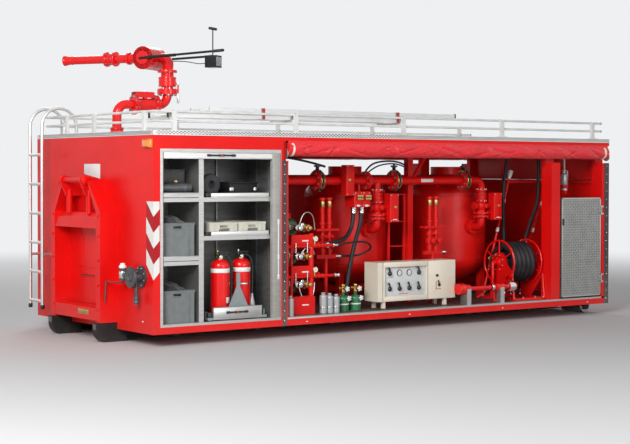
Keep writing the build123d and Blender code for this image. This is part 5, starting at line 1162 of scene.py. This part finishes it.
# %% Hose on the reel
REEL_X0, REEL_X1, REEL_Y, REEL_Z = at(5205), at(4775), 0.880, 0.640
FACE = REEL_X1 + 0.028
LAYS, STEPS, HOSE_RADIUS = 5, 28, 0.0395
CREEP = 0.6
wound_start, wound_end = REEL_X0 + 0.016 + HOSE_RADIUS, REEL_X1 - 0.016 - HOSE_RADIUS
pitch = (wound_end - wound_start) / (LAYS - 0.4)
points = []
for layer, radius in enumerate((0.158, 0.196)):
    for lay in range(LAYS):
        for share in (step / STEPS for step in range(STEPS)):
            x = wound_start + pitch * min(LAYS - 0.4, lay + max(0.0, share - CREEP) / (1 - CREEP))
            x = wound_end - (x - wound_start) if layer else x
            angle = math.radians(90 - 360 * share)
            out = radius + 0.0015 * math.sin(3 * angle + lay)
            points.append((x, REEL_Y + out * math.cos(angle), REEL_Z + out * math.sin(angle)))
wound = settle(tube(points, HOSE_RADIUS, smooth_line=True), "reel_hose_turns", hose_black, "reel", smooth=60)
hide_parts("reel_hose")


def at_reel(stations, x, dy, dz, axis, sides):
    """A turned piece placed from the reel's middle."""
    return turned(stations, (x, REEL_Y + dy, REEL_Z + dz), axis, sides)


settle(at_reel([0, 116, 398, 116], REEL_X0 + 0.016, 0, 0, "x", 48), "reel_core", black_paint, "reel", bevel=0.001)
settle(at_reel([0, 60, 6, 64, 12, 64, 16, 40, 34, 38], REEL_X1 + 0.011, 0, 0, "x", 32), "reel_hub", extinguisher_red,
       "reel", bevel=0.001)
inlet = ((0.055, 0, 0), (0.075, 0, 0), (0.080, 0.005, -0.04), (0.080, 0.01, -0.20), (0.070, -0.02, -0.34),
         (0.060, -0.03, -0.405))
settle([at_reel([0, 34, 4, 36, 12, 36, 14, 24, 40, 24, 44, 30, 60, 30, 62, 18], FACE, 0, 0, "x", 28),
        tube([(FACE + dx, REEL_Y + dy, REEL_Z + dz) for dx, dy, dz in inlet], 0.019, smooth_line=True, sides=5)],
       "reel_inlet", extinguisher_red)
settle(copies(hex_bolt(7.5), ring_of((FACE + 0.0005, REEL_Y, REEL_Z), 0.088, 8, "x", 22.5)), "reel_plate_bolts", steel)
settle([at_reel([0, 10, 50, 10, 52, 15, 66, 15], FACE + 0.05, -0.03, dz, "-y", 14) for dz in (-0.052, 0.045)],
       "reel_cocks", brass, bevel=0.0008)
settle([block((FACE, REEL_Y + 0.225, REEL_Z - 0.165), (FACE + 0.030, REEL_Y + 0.268, REEL_Z - 0.118)),
        at_reel([0, 12, 30, 12, 32, 18, 48, 18], FACE + 0.015, 0.19, -0.145, "x", 18)],
       "reel_brake", extinguisher_red, bevel=0.002)
settle(copies(hex_bolt(9), [spot((x, y, 0.2398))
                            for x in (REEL_X0 - 0.005, REEL_X0 + 0.12, REEL_X1 - 0.12, REEL_X1 + 0.01)
                            for y in (1.150, 0.610)]), "reel_foot_bolts", steel)
print("reel wound")

# %% [markdown]
# The door of the rear equipment bay is chequer plate: small raised lozenges that lie crosswise. One
# lozenge is a flattened, bevelled box; the copies turn by a right angle from one to the next.

# %% Chequered door
GRID, COLUMNS, ROWS = 0.0295, 21, 38
lozenge = block((-0.0125, -0.0035, -0.0002), (0.0125, 0.0035, 0.0014))
edit_all(lozenge)
bpy.ops.mesh.select_all(action="DESELECT")
bpy.ops.object.mode_set(mode="OBJECT")
for face in lozenge.data.polygons:
    face.select = face.normal.z > 0.9
bpy.ops.object.mode_set(mode="EDIT")
bpy.ops.transform.resize(value=(0.62, 0.45, 1), center_override=(0, 0, 0))
bpy.ops.object.mode_set(mode="OBJECT")
places = [spot((at(6035.5) + GRID * i, 1.2400, 0.2535 + GRID * j), "y", 45 + 90 * ((i + j) % 2))
          for i in range(COLUMNS) for j in range(ROWS)]
settle(copies(lozenge, places), "door_tread", aluminium, "door", smooth=20)
settle([box(rear, front, 1.2398, 1.2420, z0, z1) for rear, front, z0, z1 in (
    (6062, 6048, 0.226, 1.377), (5433, 5419, 0.226, 1.377), (6062, 5419, 0.226, 0.240), (6062, 5419, 1.363, 1.377))],
       "door_edges", aluminium, "door", bevel=0.0008)
settle([box(5447, 5425, 1.2405, 1.2480, 1.060, 1.140), box(5444, 5428, 1.2470, 1.2535, 1.085, 1.128)], "door_catch",
       black_plastic, "door", bevel=0.002)
settle(copies(turned([0, 6, 2, 6, 4, 3], sides=10),
              [spot((at(s), 1.2478, z), "y") for z in (0.414, 0.446, 1.214, 1.246) for s in (6050, 6032)]),
       "door_hinge_screws", steel, "door")
print("door:", COLUMNS * ROWS, "lozenges")

# %% Rear bay: lance heads, hanging extinguisher, ledge bar
heads = []
for s, z, slope in ((5290, 1.640, 3.34), (5950, 1.590, 2.22)):
    lean = Vector((-1 / slope, 0, 1)).normalized()
    top = Vector((at(s), 0.500, z))
    heads.append(turned([-20, 16.5, -16, 21, 12, 21, 16, 26, 60, 30, 85, 30, 90, 20],
                        top - lean * 0.03, along(lean), 24))
    heads += [turned([0, 16.2, 3, 19.5, 50, 19.5, 53, 16.2], top - lean * down, along(lean), 20)
              for down in (0.35, 0.70, 1.05)]
settle(heads, "lance_heads", label_white, bevel=0.001)
BOTTLE = (at(5742), 0.950)
settle(turned([0, 36, 6, 42, 120, 42, 122, 42.5, 124, 42], (*BOTTLE, 1.404), "z", 32), "hanging_bottle_base",
       extinguisher_red, bevel=0.001)
settle(turned([0, 41.8, 100, 42, 125, 36, 140, 18, 160, 18, 162, 24, 175, 24], (*BOTTLE, 1.524), "z", 32),
       "hanging_bottle_top", bottle_grey, bevel=0.001)
settle([box(5752, 5732, 0.940, 0.960, 1.690, 1.985), box(5802, 5784, 0.942, 0.958, 1.462, 1.700),
        box(5802, 5732, 0.942, 0.958, 1.690, 1.700)]
       + [turned([0, 42.5, 2, 44.5, 22, 44.5, 24, 42.5], (*BOTTLE, z), "z", 32) for z in (1.460, 1.590)],
       "hanging_bottle_bracket", steel, bevel=0.0012)
settle(box(6118, 6102, -0.90, 1.06, 1.5752, 1.590), "rear_ledge_bar", bright_steel, bevel=0.002)
print("rear bay dressed")

# %% Cover strips, sill and edging details
settle(copies(turned([0, 6.2, 1.2, 5.5, 2.2, 3], sides=10),
              [spot((at(s), y, 0.180 + 0.098 * i), axis) for y, axis in ((1.2498, "y"), (-1.2498, "-y"))
               for s in (1511, 6148) for i in range(17)]), "strip_rivets", bright_steel)
settle([box(6068, 1548, y, y + 0.0015, 0.192, 0.199) for y in (SIDE, -SIDE - 0.0015)], "sill_edge_beads", aluminium,
       bevel=0.0006)
settle([box(s, s - 22, 1.2456, 1.2485, 0.150, 0.160) for s in (1800, 3150, 4500, 5850)], "sill_reflectors",
       label_white, bevel=0.001)
print("edges finished")

# %% [markdown]
# The roof edge is a tread profile of pale metal with rows of short slots, and above it stand railing,
# ladders and the monitor. The slots are dark dashes let into the edge by a shallow plate behind them.

# %% Roof edge, railing clamps and ladders
PITCH = 0.041
places = []
for z, shift in ((2.036, 0), (2.049, PITCH / 2), (2.060, 0)):
    for y, spin in ((1.2500, 0), (-1.2500, 180)):
        places += [spot((-3.185 + shift + PITCH * i, y, z), spin=spin) for i in range(150)]
    for x, spin in ((FRONT, -90), (REAR, 90)):
        places += [spot((x, -1.20 + shift + PITCH * i, z), spin=spin) for i in range(59)]
settle(copies(block((-0.012, -0.0003, -0.0034), (0.012, 0.0006, 0.0034)), places), "roof_edge_slots", strip_black,
       smooth=20)
RAIL_Y, RAIL_Z, RAIL_POSTS = 1.1522, (2.2525, 2.160), (271, 1696, 3101, 4528, 5972)
settle(copies(turned([-12, 15, -10, 16.5, 10, 16.5, 12, 15], sides=20),
              [spot((at(s), y, z), "x") for y in (RAIL_Y, -RAIL_Y) for s in RAIL_POSTS for z in RAIL_Z]),
       "railing_clamps", steel, bevel=0.0008)
settle(copies(turned([-2, 11.5, 0, 13.8, 10, 13.8, 13, 10], sides=16),
              [spot((at(6135), y, z), "-x") for y in (RAIL_Y, -RAIL_Y) for z in RAIL_Z]),
       "railing_end_caps", black_plastic)
settle(copies(hex_bolt(6), [spot((at(s + step), y, 2.0738)) for y in (1.180, -1.180) for s in RAIL_POSTS
                            for step in (45, -45)]), "railing_foot_bolts", steel)

STILES = (-0.822, -1.110)
settle(copies(turned([-135, 14.2, -132, 16, 132, 16, 135, 14.2], sides=14),
              [spot((at(-150), -0.966, 1.850 - 0.308 * i), "y") for i in range(6)]), "ladder_rung_grips", ladder_metal)
settle([turned([-10, 18.5, 0, 22.5, 30, 22.5, 34, 18.5], (at(-150), y, 0.238), "z", 20) for y in STILES],
       "ladder_shoes", black_plastic, bevel=0.001)
settle([turned([0, 30, 8, 30, 10, 26], (FRONT, y, 0.799), "x", 24) for y in STILES], "ladder_stay_plates",
       ladder_metal, bevel=0.001)
settle([box(rear, front, y, y + width, z0, z1) for rear, front, y, width, z0, z1 in (
    (3885, 3866, 1.104, 0.0265, 2.258, 2.312), (3885, 3866, 0.7545, 0.0265, 2.258, 2.312),
    (236, 224, 1.1095, 0.026, 2.196, 2.266), (236, 224, 0.7495, 0.026, 2.196, 2.266))],
       "stored_ladder_caps", black_plastic, bevel=0.002)
settle([box(s + 16, s - 16, y0, y1, z0, z1) for s in (1330, 3060) for y0, y1, z0, z1 in (
    (0.742, 1.143, 2.1995, 2.2005), (0.7435, 0.7455, 2.1995, 2.3095), (1.1395, 1.1415, 2.1995, 2.3095),
    (0.7435, 1.1415, 2.308, 2.310))], "stored_ladder_belts", webbing, bevel=0.0005)
print("roof edge and ladders finished")

# %% [markdown]
# The monitor parts ride with their joints: what belongs to the turning head rides on it, what belongs
# to the gun rides on the gun. Its pieces were read in the head's own frame, with X along the barrel.

# %% Monitor riser
RISER_Z = 2.365
places = rings_of([((at(s), 0, RISER_Z), axis) for s, axis in ((479, "x"), (753, "-x"), (501, "-x"), (731, "x"))]
                  + [((at(884), 0, 2.480), "-z")], 0.084)
settle(copies(hex_bolt(11), places), "riser_bolts", steel)
settle([turned([-4, 47, -2, 50.5, 2, 50.5, 4, 47], (at(s), 0, RISER_Z), "x", 36) for s in (410, 770)]
       + [turned([0, 66, 0, 98, 8, 100, 12, 96, 12, 66], (at(290), 0, 2.066), "z", 40),
          turned([0, 65.8, 4, 70, 20, 70, 24, 65.8], (at(290), 0, 2.100), "z", 40),
          box(700, 490, -0.040, 0.040, 2.4936, 2.4985)], "riser_trim", extinguisher_red, bevel=0.001, smooth=50)
settle([box(rear, rear - 4, -0.042, 0.042, 2.441, 2.491) for rear in (708, 486)], "actuator_end_caps", black_plastic,
       bevel=0.001)
settle(turned([0, 22, 10, 22, 14, 15], (at(616), 0, 2.4980), "z", 24), "actuator_indicator", label_white, bevel=0.001)

# %% Monitor head and gun
PIVOT_Z, BACK, BARREL_Y = 2.860, -0.210, 0.0775
AIM = rotation("Z", -60) @ Vector((0.210, 0, 0))
HEAD = Matrix.Translation(Vector((at(884), 0, PIVOT_Z)) + AIM) @ rotation("Z", -60)
FAR_Y = -0.1813


def on_head(parts, name, skin, body="monitor_gun", **looks):
    """Settles a piece after moving it from the head's own frame into its place."""
    settle(moved(joined(parts), HEAD), name, skin, body, **looks)


def head_bolts(size, rings, name, body):
    """Bolts in rings given in the head's own frame: centre, axis, radius and first angle."""
    settle(copies(hex_bolt(size), [HEAD @ place for centre, axis, radius, start in rings
                                   for place in ring_of(centre, radius, 8, axis, start)]), name, steel, body)


head_bolts(10, [((BACK, 0, 2.5362 - PIVOT_Z), "z", 0.086, 0), ((0, -0.1500, 0), "-y", 0.096, 22.5)],
           "head_bolts", "monitor_head")
on_head([turned([0, 91.2, 2, 93.5, 10, 93.5, 12, 91.2], (BACK, 0, z - PIVOT_Z), "z", 48) for z in (2.566, 2.605, 2.645)]
        + [turned([0, 100, 2, 102.5, 18, 102.5, 20, 100], (BACK, 0, 2.709 - PIVOT_Z), "z", 48),
           turned([-6, 66.5, -3, 69.5, 3, 69.5, 6, 66.5], (BACK, 0, 2.684 - PIVOT_Z), "z", 40),
           turned([0, 117.5, 3, 120.5, 14, 120.5, 17, 117.5], (0, -0.150, 0), "y", 56)],
        "head_rings", extinguisher_red, "monitor_head", bevel=0.0008, smooth=50)
on_head([turned([0, 10.5, 4, 12.5, 100, 12.5, 104, 10.5], (BACK - 0.128, 0, 2.386 - PIVOT_Z), "z", 16),
         turned([-4, 14, 0, 18, 20, 18, 24, 14], (BACK - 0.128, 0, 2.580 - PIVOT_Z), "z", 20)],
        "head_lock_lever", bright_steel, "monitor_head", bevel=0.0008)
on_head([turned([0, 117.5, 3, 120.5, 14, 120.5, 17, 117.5], (0, 0.133, 0), "y", 56),
         turned([0, 60, 4, 72, 10, 72, 12, 50], (0, 0.1498, 0), "y", 40)]
        + [turned(stations, (x, BARREL_Y, 0), "x", sides) for x, stations, sides in (
            (0.355, [0, 76, 4, 78.5, 22, 78.5, 26, 76], 48), (0.461, [0, 76, 4, 78.5, 22, 78.5, 26, 76], 48),
            (0.900, [0, 43.5, 3, 47, 12, 47, 15, 43.5], 40),
            (0.9785, [0, 52, 10, 55.5, 22, 56, 22.5, 47, 12, 43], 44))],
        "barrel_rings", extinguisher_red, bevel=0.0008, smooth=50)
head_bolts(7.5, [((0.382, BARREL_Y, 0), "x", 0.069, 0), ((0.461, BARREL_Y, 0), "-x", 0.069, 0)],
           "barrel_bolts", "monitor_gun")
on_head([turned([0, 31.8, 3, 31.8], (0.9012, BARREL_Y, 0), "x", 32)], "barrel_bore_end", strip_black)
on_head([block((-0.717, FAR_Y - 0.062, -0.1015), (-0.593, FAR_Y + 0.062, -0.0995)),
         block((-0.7225, FAR_Y - 0.055, -0.085), (-0.7195, FAR_Y + 0.055, 0.010)),
         turned([0, 20, 10, 20, 12, 14], (-0.620, FAR_Y, 0.0248), "z", 20)], "tiller_box_plates", gun_grey, bevel=0.001)
on_head([turned(stations, (-0.650, FAR_Y, 0.305), "y", 18) for stations in (
    [-70.5, 11.5, -70, 15, -12, 15, -10, 11.8], [10, 11.8, 12, 15, 70, 15, 70.5, 11.5])], "tiller_grips", rubber_and_shade)
on_head([turned([0, 11.8, 4, 15.5, 115, 15.5, 120, 10], (-0.835, 0.1663, 0.0406), along((-0.960, 0, 0.052)), 18)],
        "tiller_near_grip", rubber_and_shade)
cable = ((-0.594, 0.03, -0.050), (-0.52, 0.02, -0.065), (-0.36, 0.01, -0.03), (-0.20, 0, -0.018), (-0.06, 0, -0.022))
on_head([tube([(x, FAR_Y + dy, z) for x, dy, z in cable], 0.0045, smooth_line=True, sides=4)], "tiller_cable",
        black_plastic, smooth=60)
print("monitor finished")

# %% Underside: rollers and beam shoes
settle([turned([0, 34, 3, 46, 10, 46, 12, 38], (at(6055), y, 0.080), axis, 28)
        for y, axis in ((1.0003, "y"), (0.6597, "-y"), (-1.0003, "-y"), (-0.6597, "y"))],
       "roller_pin_collars", steel, bevel=0.001)
settle([block((FRONT + 0.2245, y - 0.030, 0.125), (FRONT + 0.2262, y + 0.030, 0.180)) for y in (0.4845, -0.4845)],
       "shoe_wear_marks", strip_black, bevel=0.0006)
print("underside finished")
